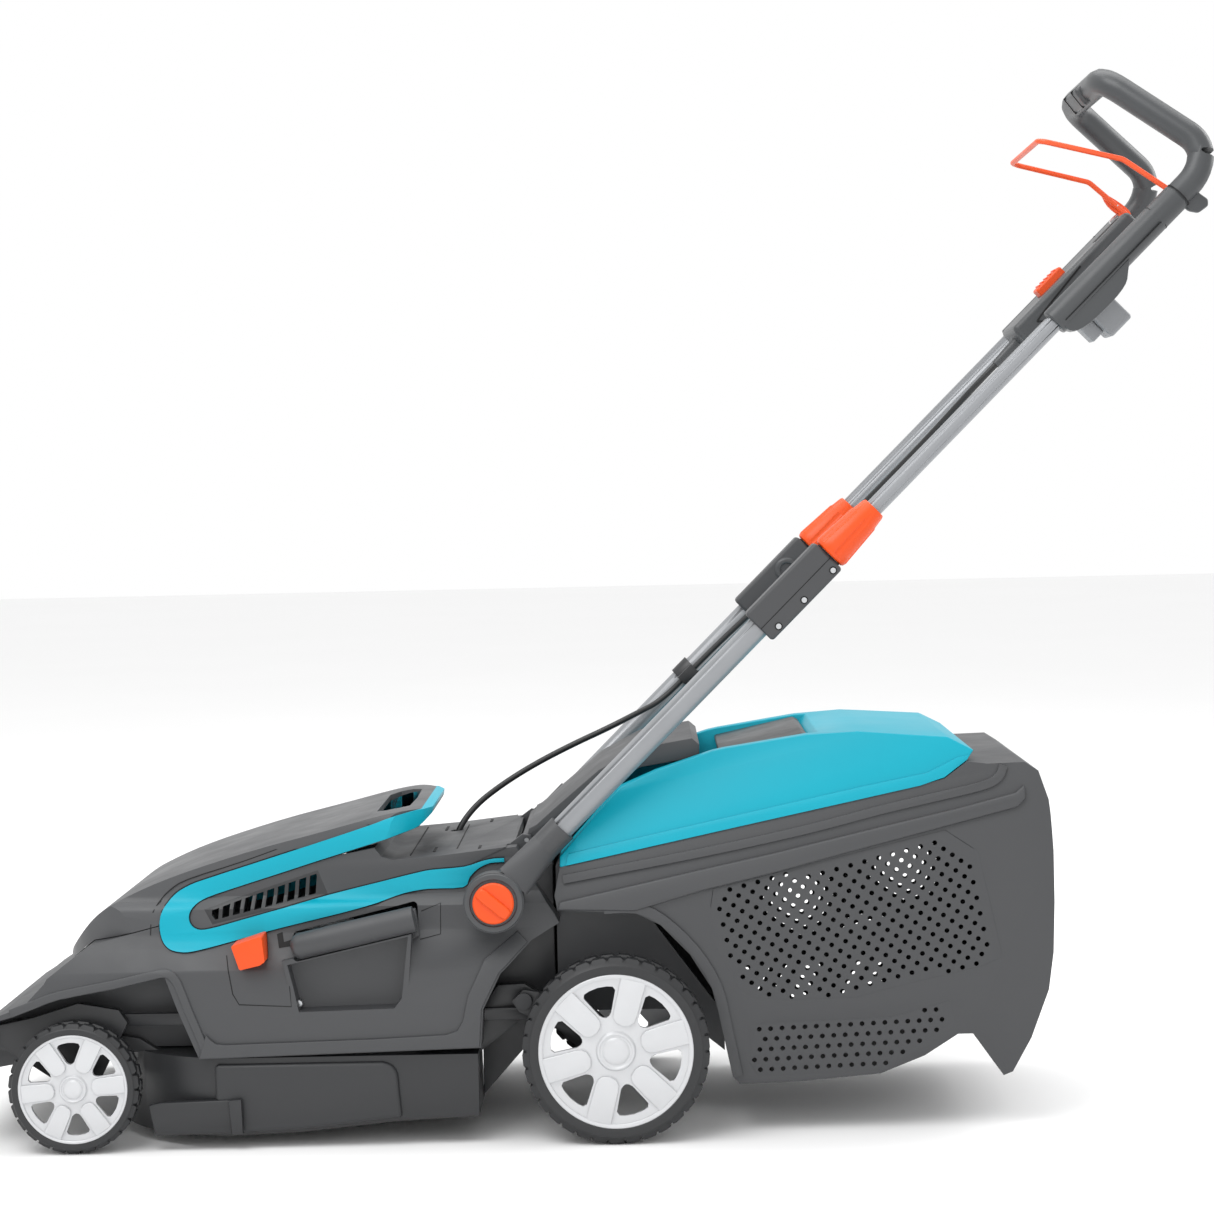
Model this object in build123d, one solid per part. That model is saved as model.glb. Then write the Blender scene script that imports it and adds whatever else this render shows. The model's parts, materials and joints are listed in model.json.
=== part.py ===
from build123d import *
import math
import os

# Corded electric rotary lawn mower with a grass catcher and a folding, telescopic handle.
# Lengths are in millimetres. X runs rearwards to the operator, Y to the operator's right and Z up.
# Every shape is drawn with x = 0 at the rear axle and the ground at z = 0. save() moves it, so
# that the origin is in the middle of the machine's length.

# ---- driving dimensions ----
FRONT_END = -711.0                    # nose of the body
HANDLE_END = 657.0                    # rearmost point of the loop handle
WHEEL_BASE = 580.0
REAR_WHEEL_R, FRONT_WHEEL_R = 100.0, 70.0
REAR_TYRE_W, FRONT_TYRE_W = 38.0, 30.0
WHEEL_FACE = 215.0                    # outer face of all four wheels, from the mid plane
AXLE_R = 6.0
RUNNING = 0.06                        # radial play of a running fit
GAP = 0.3                             # play between pieces that move past each other
WALL = 3.5                            # moulded shells
ARM_IN, ARM_OUT = 163.0, 171.0        # swing arms, from the mid plane
ROD_IN, ROD_OUT = 154.0, 160.0        # tie rods
BRACKET_IN, BRACKET_OUT = 138.0, 148.0
WELL_IN = 134.0                       # inner wall of the front wheel opening
FRONT_PIVOT = (-679.0, 118.0)         # swing pivot of the front axle, as x and z
REAR_PIVOT = (-99.0, 148.0)
LINK_ARM = (60.0, -12.0)              # from each pivot to its tie rod pin
PIN_R = 4.0
BLADE_X = -360.0
BLADE_LENGTH = 370.0
SHAFT_R = 8.0
DECK_HALF = 196.0                     # half width of the blade housing
DECK_TOP = 97.0
BODY_HALF = 200.0
FOLD_X, FOLD_Z = -127.0, 260.0        # fold axis of the handle
HANDLE_ANGLE = 44.7
TUBE_Y = 162.0
LOWER_TUBE_R, LOWER_BORE_R = 12.5, 9.78
UPPER_TUBE_R, UPPER_BORE_R = 9.7, 8.2
ELBOW_IN, ELBOW_OUT = 186.0, 205.0
KNOB_FACE = 214.0
TRIM_WIDTH = 17.5
TRIM_PROUD, TRIM_SUNK = 1.5, 1.2
FLAP_HINGE = (-94.5, 314.5)
FLAP_HALF = 106.0
CATCHER_HALF = 186.0
CATCHER_SLOPE = 11.8                  # of the catcher's rim, in degrees
CATCHER_RIM = (-57.0, 291.0)          # front end of that rim
MOUTH_HALF = 124.0
LEAD_R = 3.5
SPIGOT_R = 15.0
KNOB_BOLT_R, BLADE_BOLT_R = 5.0, 5.0
BLOCK, NUT, SLEEVE = (406.0, 513.0), (514.0, 584.0), (857.0, 1048.0)   # stations along the handle
TUBE_END = 560.0                      # top of the lower tubes
CLIP = (294.0, 316.0)
LOOP_R = 14.5
BAIL_R = 3.0
BAIL_PIVOT = (616.5, 1003.0)
BUTTON = (892.0, 930.0)               # start button, as stations

# ---- route of the motor lead, by hand ----
# The bow hangs free between the body and the clip; its points are x, y and z.
LEAD_BOW = [(-190, 60, 282), (-184, 64, 303), (-163, 82, 330), (-133, 102, 351), (-95, 113, 373), (-50, 116, 395),
            (-6, 119, 414), (30, 126, 431), (59.2, 138, 444.3), (80.55, 138, 465.4)]
# The run follows the handle; its points are station, y and lift.
LEAD_RUN = [(292, 138, 0), (350, 138, 0), (430, 132, -4), (500, 118, -6), (560, 100, -6), (620, 78, -5),
            (690, 50, -3), (735, 26, 0), (775, 0, 3), (820, 0, 3)]

MIDDLE_X = (FRONT_END + HANDLE_END) / 2
THROUGH = 400.0                       # half length of a cutter that passes right through
SIDES = {"left": -1, "right": 1}

# ---- outlines seen from the side, as x and z ----
BODY_SIDE = [(-711, 75), (-708, 103), (-691, 129), (-662, 147), (-634, 157), (-612, 180), (-598, 206),
             (-569, 241), (-540, 260), (-484, 284), (-400, 310), (-316, 331), (-232, 351), (-208, 350),
             (-199, 344), (-213, 331), (-262, 316), (-252, 303), (-240, 299), (-186, 303), (-104, 312),
             (-87, 274), (-64, 240), (-59, 231), (-89, 214), (-122, 182), (-141, 145), (-144, 104),
             (-446, 97.2), (-560, 97.2), (-690, 75)]
BODY_SECTION = [(-205, 60), (-201, 100), (-199, 150), (-190, 190), (-174, 212), (-166, 226), (-160, 252),
                (-147, 264), (-141, 300), (-136, 340), (-124, 353)]
HOOD_REGION = [(-720, 178), (-612, 183), (-567, 217), (-484, 237), (-484, 261), (-300, 318), (-295, 306),
               (-262, 312), (-150, 328), (-150, 420), (-720, 420)]
COVER_REGION = [(-484, 237), (-484, 261), (-300, 318), (-295, 306), (-262, 312), (-150, 328), (-50, 330),
                (-50, 300), (-127, 294), (-161, 281), (-239, 270), (-461, 218)]
BODY_REGION = [(-720, 60), (-720, 178), (-612, 183), (-567, 217), (-484, 237), (-461, 218), (-239, 270),
               (-161, 281), (-127, 294), (-50, 300), (-50, 60)]
TRIM_LINE = [(-207, 347), (-484, 261), (-484, 212), (-239, 270), (-161, 281), (-96, 310)]
TRIM_CORNERS = [23, 23, 60, 60]
WHEEL_OPENING = [(-697, 60), (-697, 132), (-650, 145), (-596, 164), (-538, 173), (-483, 186), (-446, 97),
                 (-446, 60)]
WHEEL_WELL = [(-715, 78), (-715, 140), (-640, 180), (-540, 230), (-440, 230), (-440, 97.3), (-562, 97.3),
              (-562, 78)]
VENT = [(-443, 252), (-321, 290), (-310, 264), (-434, 236)]
VENT_SLOTS = [(-438, 250), (-323, 286), (-314, 267), (-431, 241)]
HINGE_EAR = [(-112, 306), (-112, 311.5), (-99, 321), (-90, 319.5), (-87.5, 312), (-98, 302)]
GRIP_RECESS = [(-350, 196), (-220, 224), (-228, 158), (-236, 148), (-338, 146)]
GRIP = [(-345, 227), (-212, 257), (-211, 228), (-341, 199), (-350, 213)]
HEIGHT_BUTTON = [(-409, 219.5), (-375, 229.5), (-372, 201), (-378, 197), (-400, 192)]
COMB = [(-502, 49), (-495, 16), (-406, 18), (-405, 54), (-489, 52)]
FRONT_ARM = [(-690, 114), (-684, 127), (-672, 131), (-632, 139), (-581, 154), (-537, 146), (-528, 132),
             (-562, 66), (-580, 57), (-598, 64), (-658, 104), (-684, 107)]
REAR_ARM = [(-112, 148), (-99, 160), (-34, 148), (13, 104), (8, 90), (-8, 89), (-104, 136)]
FRONT_BRACKET = [(-500, 97), (-520, 110), (-655, 133), (-677, 127), (-687, 118), (-681, 109), (-650, 98),
                 (-556, 93)]
REAR_BRACKET = [(-175, 97), (-128, 161), (-99, 162), (-84, 152), (-84, 138), (-147, 90), (-152, 93), (-175, 93)]
CHUTE = [(-236, 97.2), (-150, 225), (-70, 290), (-66, 290), (-66, 122), (-70, 122), (-147, 36),
         (-147, 97.2)]
CHUTE_BORE = [(-231, 90), (-147, 220), (-68, 286), (-60, 286), (-60, 126), (-68, 126), (-152, 30),
              (-152, 90)]
CATCHER_SIDE = [(-57, 291), (-63, 262), (-60, 247), (24, 243), (50, 230), (81, 197), (104, 159), (114, 115),
                (125, 61), (132, 53), (197, 54), (284, 61), (332, 80), (368, 103), (384, 103), (417, 56),
                (427, 60), (447, 97), (466, 150), (471, 191), (472, 246), (471, 301), (467, 356), (458, 386),
                (444, 395), (404, 394), (383, 397), (358, 379), (332, 372.3)]
MOUTH_NECK = [(-57, 290), (-63, 286), (-63, 127), (60, 127), (118, 80), (118, 120), (30, 240)]
LID_SIDE = [(-57, 291), (-57, 302), (-17, 346), (9, 373), (49, 390), (114, 411), (214, 426), (269, 429),
            (364, 422), (391, 408), (383, 397.3), (358, 379.3), (332, 372.6)]
LID_TROUGH = [(-70, 285), (-50, 285), (-17, 325), (9, 347), (49, 364), (96, 374), (205, 396), (236, 440),
              (-70, 440)]
FLAP_TOP = [(-92, 326), (-84, 330), (-61, 350), (-14, 389), (32, 413), (89, 422), (97, 415), (96, 384)]

os.makedirs("parts", exist_ok=True)


# ---- small helpers ----
def save(name, shape):
    """Write one sub-part, with the origin at the middle of the machine's length."""
    export_step(Pos(-MIDDLE_X, 0, 0) * shape, "parts/" + name + ".step")


def side_face(outline, corner=0.0):
    """Flat face in the XZ plane with rounded corners."""
    face = make_face(Polyline(*outline, close=True))
    return Plane.XZ * (fillet(face.vertices(), corner) if corner else face)


def slab(outline, y_low, y_high, corner=0.0):
    """Solid with a side-view outline between two planes of constant y."""
    solid = extrude(side_face(outline, corner), amount=y_high - y_low, dir=(0, 1, 0))
    return Pos(0, y_low, 0) * solid


def side_slab(side, outline, inner, outer, corner=0.0):
    """The same on one side of the machine, between two distances from the mid plane."""
    low, high = sorted((side * inner, side * outer))
    return slab(outline, low, high, corner)


def rod(start, end, radius, hole=0.0):
    """Round bar or tube between two points."""
    start, end = Vector(*start), Vector(*end)
    profile = Circle(radius) - Circle(hole) if hole else Circle(radius)
    return extrude(Plane(origin=start, z_dir=end - start) * profile, amount=(end - start).length)


def cross_rod(side, centre, inner, outer, radius, hole=0.0):
    """Round bar across the machine on one side, at an (x, z) centre."""
    x, z = centre
    return rod((x, side * inner, z), (x, side * outer, z), radius, hole)


def both(make):
    """A left and a right solid in one sub-part."""
    return make(SIDES["left"]) + make(SIDES["right"])


def moved(point, step):
    """An (x, z) point moved by an (x, z) step."""
    return (point[0] + step[0], point[1] + step[1])


# ---- wheels ----
def wheel(name, side, axle_x, axle_z, radius, width, rim_r, first_spoke):
    """Tyre, rim with six broad spokes, and hub cap."""
    inner = side * (WHEEL_FACE - width)
    shoulder = 4.0
    profile = Polyline((rim_r, 0), (radius - shoulder, 0), (radius, shoulder), (radius, width - shoulder),
                       (radius - shoulder, width), (rim_r, width), close=True)
    outward = Plane(origin=(axle_x, inner, axle_z), x_dir=(1, 0, 0), z_dir=(0, side, 0))
    tyre = revolve(Plane.XZ * make_face(profile), Axis.Z)
    barrel_width = width - 3
    barrel = Cylinder(rim_r, barrel_width, align=(Align.CENTER, Align.CENTER, Align.MIN))
    barrel -= Cylinder(rim_r - 4, barrel_width, align=(Align.CENTER, Align.CENTER, Align.MIN))
    disc = Pos(0, 0, width - 9) * Cylinder(rim_r - 3, 6, align=(Align.CENTER, Align.CENTER, Align.MIN))
    window = make_face(Polyline((rim_r * 0.36, -2), (rim_r * 0.36, 2), (rim_r * 0.84, rim_r * 0.27),
                                (rim_r * 0.9, 0), (rim_r * 0.84, -rim_r * 0.27), close=True))
    for spoke in range(6):
        turn = Rot(0, 0, first_spoke + 30 + 60 * spoke)
        disc -= turn * extrude(window, amount=width)
    hub_length = width - 3
    hub = Cylinder(rim_r * 0.3, hub_length, align=(Align.CENTER, Align.CENTER, Align.MIN))
    rim = barrel + disc + hub - Cylinder(AXLE_R + RUNNING, 3 * width)
    cap = Pos(0, 0, hub_length) * Cylinder(rim_r * 0.19, 3, align=(Align.CENTER, Align.CENTER, Align.MIN))
    save(name + "_tyre", outward * tyre)
    save(name + "_rim", outward * rim)
    save(name + "_hub_cap", outward * cap)


def make_wheels():
    for word, side in SIDES.items():
        wheel(word + "_rear", side, 0, REAR_WHEEL_R, REAR_WHEEL_R, REAR_TYRE_W, 83, 15 * -side)
        wheel(word + "_front", side, -WHEEL_BASE, FRONT_WHEEL_R, FRONT_WHEEL_R, FRONT_TYRE_W, 59, 5 * -side)


# ---- cutting height linkage ----
def swing_arm(side, outline, pivot, axle):
    """Flat arm that carries one end of an axle, with a pin for the tie rod."""
    pin = moved(pivot, LINK_ARM)
    arm = side_slab(side, outline, ARM_IN, ARM_OUT, 3)
    arm += cross_rod(side, pin, ROD_IN - 1, ARM_IN, PIN_R)
    arm -= cross_rod(side, pivot, 0, THROUGH, AXLE_R + RUNNING)
    return arm - cross_rod(side, axle, 0, THROUGH, AXLE_R)


def tie_rod(side):
    """Formed flat bar that joins the front and rear swing arms."""
    front, rear = moved(FRONT_PIVOT, LINK_ARM), moved(REAR_PIVOT, LINK_ARM)
    line = FilletPolyline(front, (-590, 112), (-562, 133), (-75, 132), rear, radius=[20, 20, 20])
    bar = Plane.XZ * trace(line, line_width=13)
    low, high = sorted((side * ROD_IN, side * ROD_OUT))
    rod_bar = Pos(0, low, 0) * extrude(bar, amount=high - low, dir=(0, 1, 0))
    for end in (front, rear):
        rod_bar += cross_rod(side, end, ROD_IN, ROD_OUT, 9)
    rod_bar -= cross_rod(side, front, 0, THROUGH, PIN_R + RUNNING)
    return rod_bar - cross_rod(side, rear, 0, THROUGH, PIN_R + GAP)


def pivot_screws(side):
    """Shoulder screws on which the swing arms turn."""
    screws = []
    for pivot in (FRONT_PIVOT, REAR_PIVOT):
        shank = cross_rod(side, pivot, BRACKET_IN, ARM_OUT + GAP, AXLE_R)
        head = cross_rod(side, pivot, ARM_OUT + GAP, ARM_OUT + 4, 9)
        screws.append(shank + head)
    return screws[0] + screws[1]


def make_linkage():
    axle_end = WHEEL_FACE - 8
    front, rear = (-WHEEL_BASE, FRONT_WHEEL_R), (0.0, REAR_WHEEL_R)
    for name, axle, outline, pivot in (("front", front, FRONT_ARM, FRONT_PIVOT),
                                       ("rear", rear, REAR_ARM, REAR_PIVOT)):
        save(name + "_axle", rod((axle[0], -axle_end, axle[1]), (axle[0], axle_end, axle[1]), AXLE_R))
        save(name + "_swing_arms", both(lambda side: swing_arm(side, outline, pivot, axle)))
    for word, side in SIDES.items():
        save(word + "_tie_rod", tie_rod(side))
    save("pivot_screws", both(pivot_screws))


# ---- deck and body ----
def box_around(outline):
    """The box around an outline, with the play of a loose fit."""
    xs, zs = [x for x, _ in outline], [z for _, z in outline]
    left, right, low, high = min(xs) - GAP, max(xs) + GAP, min(zs) - GAP, max(zs) + GAP
    return [(left, low), (right, low), (right, high), (left, high)]


def deck_plan(inset):
    """Rounded plan outline of the blade housing."""
    front, rear = -556 + inset, -148 - inset
    half = DECK_HALF - inset
    face = make_face(Polyline((front, -half), (rear, -half), (rear, half), (front, half), close=True))
    return fillet(face.vertices().group_by(Axis.X)[0], 150 - inset)


def deck_housing():
    """Lower housing around the blade, open below, with brackets for the swing arms."""
    housing = Pos(0, 0, 8) * extrude(deck_plan(0), amount=DECK_TOP - 8)
    housing -= extrude(deck_plan(4), amount=DECK_TOP - 4)
    housing -= slab([(-560, 0), (-560, 12), (-415, 13), (-337, 16), (-234, 26), (-140, 30), (-140, 0)],
                    -THROUGH, THROUGH)
    housing -= Pos(-150, 0, 62) * Box(20, 2 * MOUTH_HALF - 8, 62)
    housing -= Pos(-190, 0, DECK_TOP) * Box(84, 2 * MOUTH_HALF - 8, 20)
    housing -= Pos(BLADE_X, 0, DECK_TOP) * Cylinder(30, 20)
    for side in SIDES.values():
        for outline, pivot in ((FRONT_BRACKET, FRONT_PIVOT), (REAR_BRACKET, REAR_PIVOT)):
            bracket = side_slab(side, outline, BRACKET_IN, BRACKET_OUT)
            housing += bracket - cross_rod(side, pivot, 0, THROUGH, AXLE_R)
    return housing


def discharge_chute():
    """Duct from the blade housing to the mouth of the catcher."""
    duct = slab(CHUTE, -MOUTH_HALF, MOUTH_HALF)
    return duct - slab(CHUTE_BORE, 4 - MOUTH_HALF, MOUTH_HALF - 4)


def hood_shoulder(grow):
    """What the rounded front of the hood leaves off above the line where it meets the body."""
    line = [(-800, 183), (-612, 183), (-567, 217), (-484, 238)]
    above = slab([(x, z + grow) for x, z in line] + [(-470, 240 + grow), (-470, 500), (-800, 500)],
                 -THROUGH, THROUGH)
    half = [(-616, 0), (-612, 52), (-594, 108), (-562, 146), (-520, 166), (-440, 176)]
    plan = make_face(Polyline(*half, *[(x, -y) for x, y in reversed(half[1:])], close=True))
    if grow:
        plan = offset(plan, amount=grow, kind=Kind.INTERSECTION)
    return above - extrude(plan, amount=600)


def envelope(grow):
    """Outer form of the whole body, grown or shrunk by an even amount."""
    half = BODY_HALF + grow
    side = side_face(BODY_SIDE)
    section = make_face(Polyline(*BODY_SECTION, *[(-y, z) for y, z in reversed(BODY_SECTION)], close=True))
    if grow:
        side = offset(side, amount=grow, kind=Kind.INTERSECTION)
        section = offset(section, amount=grow, kind=Kind.INTERSECTION)
    plan = make_face(Polyline((FRONT_END - grow, -half), (0, -half), (0, half), (FRONT_END - grow, half),
                              close=True))
    plan = fillet(plan.vertices().group_by(Axis.X)[0], 60 + grow)
    solid = Pos(0, -THROUGH, 0) * extrude(side, amount=2 * THROUGH, dir=(0, 1, 0))
    solid &= extrude(plan, amount=THROUGH)
    return (solid & extrude(Plane.YZ * section, amount=-900)) - hood_shoulder(grow)


def trim_band():
    """Cutter along the coloured side trim, right across the machine."""
    line = FilletPolyline(*TRIM_LINE, radius=TRIM_CORNERS)
    band = Plane.XZ * trace(line, line_width=TRIM_WIDTH)
    return Pos(0, -THROUGH, 0) * extrude(band, amount=2 * THROUGH, dir=(0, 1, 0))


def hollow_body():
    """The whole body as one moulded wall, before it is parted."""
    outer = envelope(0)
    cavity = envelope(-WALL)
    cavity -= Pos(-185, 0, 350) * Box(210, 400, 100)
    cavity += Pos(0, 0, -12) * cavity
    body = outer - cavity
    band = trim_band()
    groove = (envelope(4) - envelope(-TRIM_SUNK)) & band
    middle = Pos(-400, 0, 200) * Box(800, 230, 500)
    return body - (groove - middle)


def side_trim(side):
    """Coloured band round the vents, along the carry handle and over the fold axis."""
    skin = (envelope(TRIM_PROUD) - envelope(-TRIM_SUNK)) & trim_band()
    low, high = sorted((side * 115, side * THROUGH))
    keep = Pos(-400, (low + high) / 2, 200) * Box(800, high - low, 500)
    return skin & keep


def grip_pocket(side):
    """Walls of the finger recess below a side grip."""
    wall = 3.0
    block = side_slab(side, [(-356, 200), (-216, 228), (-222, 150), (-233, 142), (-342, 142)], 172 - wall, 194)
    return block - side_slab(side, GRIP_RECESS, 172, THROUGH)


def fold_boss(side):
    """Boss and spigot that carry a handle elbow."""
    centre = (FOLD_X, FOLD_Z)
    boss = cross_rod(side, centre, 150, ELBOW_IN - GAP, 30)
    return boss + cross_rod(side, centre, ELBOW_IN - GAP, ELBOW_IN + 5, SPIGOT_R)


def make_body():
    body = hollow_body()
    hood = body & slab(HOOD_REGION, -THROUGH, THROUGH)
    slot = Pos(-243, 0, 340) * Box(38, 180, 80)
    hood -= fillet(slot.edges().filter_by(Axis.Z), 15)
    save("hood", hood)

    vent = slab(VENT, -THROUGH, THROUGH)
    cover = body & slab(COVER_REGION, -THROUGH, THROUGH)
    cover -= vent + Pos(-184, 64, 300) * Cylinder(LEAD_R + 4, 60)
    cover -= Pos(-84, 0, 300) * Box(48, 2 * FLAP_HALF + 3, 60)
    ears = both(lambda side: side_slab(side, HINGE_EAR, FLAP_HALF + 1, FLAP_HALF + 9))
    x, z = FLAP_HINGE
    save("flap_hinge_pin", rod((x, -FLAP_HALF - 8, z), (x, FLAP_HALF + 8, z), 2.5))
    save("rear_deck_cover", cover + (ears - rod((x, -THROUGH, z), (x, THROUGH, z), 2.5)))

    louvre = (envelope(0) - envelope(-6)) & vent
    slots = slab(VENT_SLOTS, -THROUGH, THROUGH)
    for gap in range(10):
        x = -436 + 11.4 * gap
        louvre -= slots & slab([(x, 230), (x + 7.4, 230), (x + 12.4, 300), (x + 5, 300)], -THROUGH, THROUGH)
    save("vent_grilles", louvre)

    shell = body & slab(BODY_REGION, -THROUGH, THROUGH)
    shell -= Pos(-145, 0, 198.5) * Box(190, 2 * MOUTH_HALF + 2 * GAP, 203)
    for side in SIDES.values():
        shell -= side_slab(side, WHEEL_OPENING, 150, THROUGH)
        shell -= side_slab(side, box_around(REAR_BRACKET), MOUTH_HALF, ROD_OUT + GAP)
        shell -= side_slab(side, GRIP_RECESS, 150, THROUGH)
        shell += grip_pocket(side)
        shell += side_slab(side, WHEEL_WELL, WELL_IN, WELL_IN + WALL) & envelope(-WALL / 2)
        shell -= side_slab(side, GRIP, 150, THROUGH, 5)
        shell += fold_boss(side) - trim_band()
        shell -= cross_rod(side, (FOLD_X, FOLD_Z), 0, THROUGH, KNOB_BOLT_R + RUNNING)
    shell -= side_slab(SIDES["left"], HEIGHT_BUTTON, 0, THROUGH)
    save("body_shell", shell)
    for word, side in SIDES.items():
        save(word + "_side_trim", side_trim(side) - cross_rod(side, (FOLD_X, FOLD_Z), 0, THROUGH, 30))
    save("side_grips", both(lambda side: side_slab(side, GRIP, 176, 201, 5)))
    save("grass_combs", both(lambda side: side_slab(side, COMB, DECK_HALF, DECK_HALF + 9)))
    save("deck_housing", deck_housing())
    save("discharge_chute", discharge_chute())


# ---- motor and cutter ----
def make_cutter():
    align = (Align.CENTER, Align.CENTER, Align.MIN)
    can = Pos(BLADE_X, 0, DECK_TOP) * Cylinder(62, 112, align=align)
    can -= Pos(BLADE_X, 0, DECK_TOP + 4) * Cylinder(58, 104, align=align)
    stator = Pos(BLADE_X, 0, 126) * (Cylinder(58, 40, align=align) - Cylinder(34, 40, align=align))
    motor = can + stator - Pos(BLADE_X, 0, 0) * Cylinder(SHAFT_R + RUNNING, THROUGH, align=align)
    save("motor_housing", motor)
    shaft = Cylinder(SHAFT_R, 170, align=align) + Pos(0, 0, 84) * Cylinder(33, 48, align=align)
    save("motor_rotor", Pos(BLADE_X, 0, 38) * shaft)
    hub = Pos(0, 0, 32) * Cylinder(22, 36, align=align) + Pos(0, 0, 52) * Cylinder(70, 3, align=align)
    for fin in range(8):
        hub += Rot(0, 0, 45 * fin) * Pos(46, 0, 60) * Box(40, 3, 12)
    hub -= Pos(0, 0, 38) * Cylinder(SHAFT_R, 60, align=align)
    hub -= Cylinder(BLADE_BOLT_R, 60, align=align)
    save("blade_carrier", Pos(BLADE_X, 0, 0) * hub)
    bar = Pos(0, 0, 28) * Box(BLADE_LENGTH, 48, 4)
    wing = Polyline((BLADE_LENGTH / 2 - 70, 10), (BLADE_LENGTH / 2, 10), (BLADE_LENGTH / 2, 24),
                    (BLADE_LENGTH / 2 - 60, 24), close=True)
    for turn in (0, 180):
        bar += Rot(0, 0, turn) * Pos(0, 0, 30) * extrude(make_face(wing), amount=9)
    bar &= Pos(0, 0, 20) * Cylinder(BLADE_LENGTH / 2, 40, align=align)
    bar -= Cylinder(BLADE_BOLT_R, 60, align=align)
    save("blade", Pos(BLADE_X, 0, 0) * bar)
    bolt = Pos(0, 0, 19) * extrude(RegularPolygon(9, 6), amount=5) + Pos(0, 0, 24) * Cylinder(16, 2, align=align)
    bolt += Pos(0, 0, 26) * Cylinder(BLADE_BOLT_R, 12, align=align)
    save("blade_bolt", Pos(BLADE_X, 0, 0) * bolt)


def make_height_button():
    """Square release button in the left flank, with the stem of the lock behind it."""
    outline = [(-408.5, 218.8), (-375.5, 228.8), (-372.6, 201.4), (-378, 197.5), (-400, 192.6)]
    button = side_slab(SIDES["left"], outline, 166, 203, 2)
    stem = cross_rod(SIDES["left"], (-390, 208), 140, 166, 6)
    save("height_button", button + stem)


# ---- handle, drawn in its own frame: s along the tubes, y across, lift above their plane ----
SLOPE = math.radians(HANDLE_ANGLE)
ALONG = (math.cos(SLOPE), 0, math.sin(SLOPE))
LIFT = (-math.sin(SLOPE), 0, math.cos(SLOPE))
HANDLE = Plane(origin=(FOLD_X, 0, FOLD_Z), x_dir=ALONG, z_dir=LIFT)


def handle_block(s_low, s_high, y, width, low, high, corner=0.0):
    """Block between two stations of the handle."""
    block = Box(s_high - s_low, width, high - low)
    if corner:
        block = fillet(block.edges(), corner)
    return HANDLE * (Pos((s_low + s_high) / 2, y, (low + high) / 2) * block)


def handle_rod(s_low, s_high, y, radius, hole=0.0, lift=0.0):
    return HANDLE * rod((s_low, y, lift), (s_high, y, lift), radius, hole)


def elbow(side):
    """Hinge disc with a neck that runs inwards to the socket of the lower tube."""
    disc = HANDLE * rod((0, side * ELBOW_IN, 0), (0, side * ELBOW_OUT, 0), 32.4)
    neck_start = Plane(origin=(30, side * 195, 0), x_dir=(0, 1, 0), z_dir=(1, 0, 0))
    neck_end = Plane(origin=(78, side * TUBE_Y, 0), x_dir=(0, 1, 0), z_dir=(1, 0, 0))
    neck = HANDLE * loft([neck_start * Ellipse(8, 20), neck_end * Circle(16)])
    socket = handle_rod(78, 104, side * TUBE_Y, 16)
    body = disc + neck + socket
    body -= handle_rod(76, 110, side * TUBE_Y, LOWER_TUBE_R)
    body -= cross_rod(side, (FOLD_X, FOLD_Z), 0, ELBOW_IN + 5 + GAP, SPIGOT_R + RUNNING)
    return body - cross_rod(side, (FOLD_X, FOLD_Z), 0, THROUGH, KNOB_BOLT_R + RUNNING)


def hinge_knob(side):
    """Turning knob with a raised bar, on the bolt that clamps the fold."""
    centre = (FOLD_X, FOLD_Z)
    knob = cross_rod(side, centre, ELBOW_OUT + GAP, KNOB_FACE - 4, 22)
    knob += cross_rod(side, centre, 160, ELBOW_OUT + GAP, KNOB_BOLT_R)
    bar = Pos(0, side * (KNOB_FACE - 2.5), 0) * Box(40, 5, 9)
    return knob + Pos(FOLD_X, 0, FOLD_Z) * Rot(0, 40, 0) * bar


def clamp_block(side):
    block = handle_block(BLOCK[0], BLOCK[1], side * TUBE_Y, 34, -20.5, 20.5, 4)
    return block - handle_rod(BLOCK[0] - 9, BLOCK[1] + 9, side * TUBE_Y, LOWER_TUBE_R)


def lock_nut(side):
    """Tapered turning sleeve that grips the upper tube."""
    axis_start = Plane(origin=(NUT[0], side * TUBE_Y, 0), x_dir=(0, 1, 0), z_dir=(1, 0, 0))
    nut = loft([axis_start * Circle(16.5), axis_start.offset(38) * Circle(19), axis_start.offset(NUT[1] - NUT[0]) *
                Circle(17)], ruled=True)
    nut -= rod((NUT[0] - 1, side * TUBE_Y, 0), (TUBE_END + GAP, side * TUBE_Y, 0), LOWER_TUBE_R + RUNNING)
    return HANDLE * (nut - rod((NUT[0], side * TUBE_Y, 0), (NUT[1] + 9, side * TUBE_Y, 0), UPPER_TUBE_R + RUNNING))


def loop_path(side):
    """Half of the loop's centre line, from one sleeve to the middle of the crossbar."""
    rear = HANDLE_END - LOOP_R
    bottom = HANDLE.from_local_coords(Vector(SLEEVE[1] - 10, side * 158, 0))
    return [bottom, Vector(rear, side * 156, 1021.5), Vector(rear, side * 149, 1052),
            Vector(548, side * 104, 1128), Vector(541, 0, 1128)]


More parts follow.
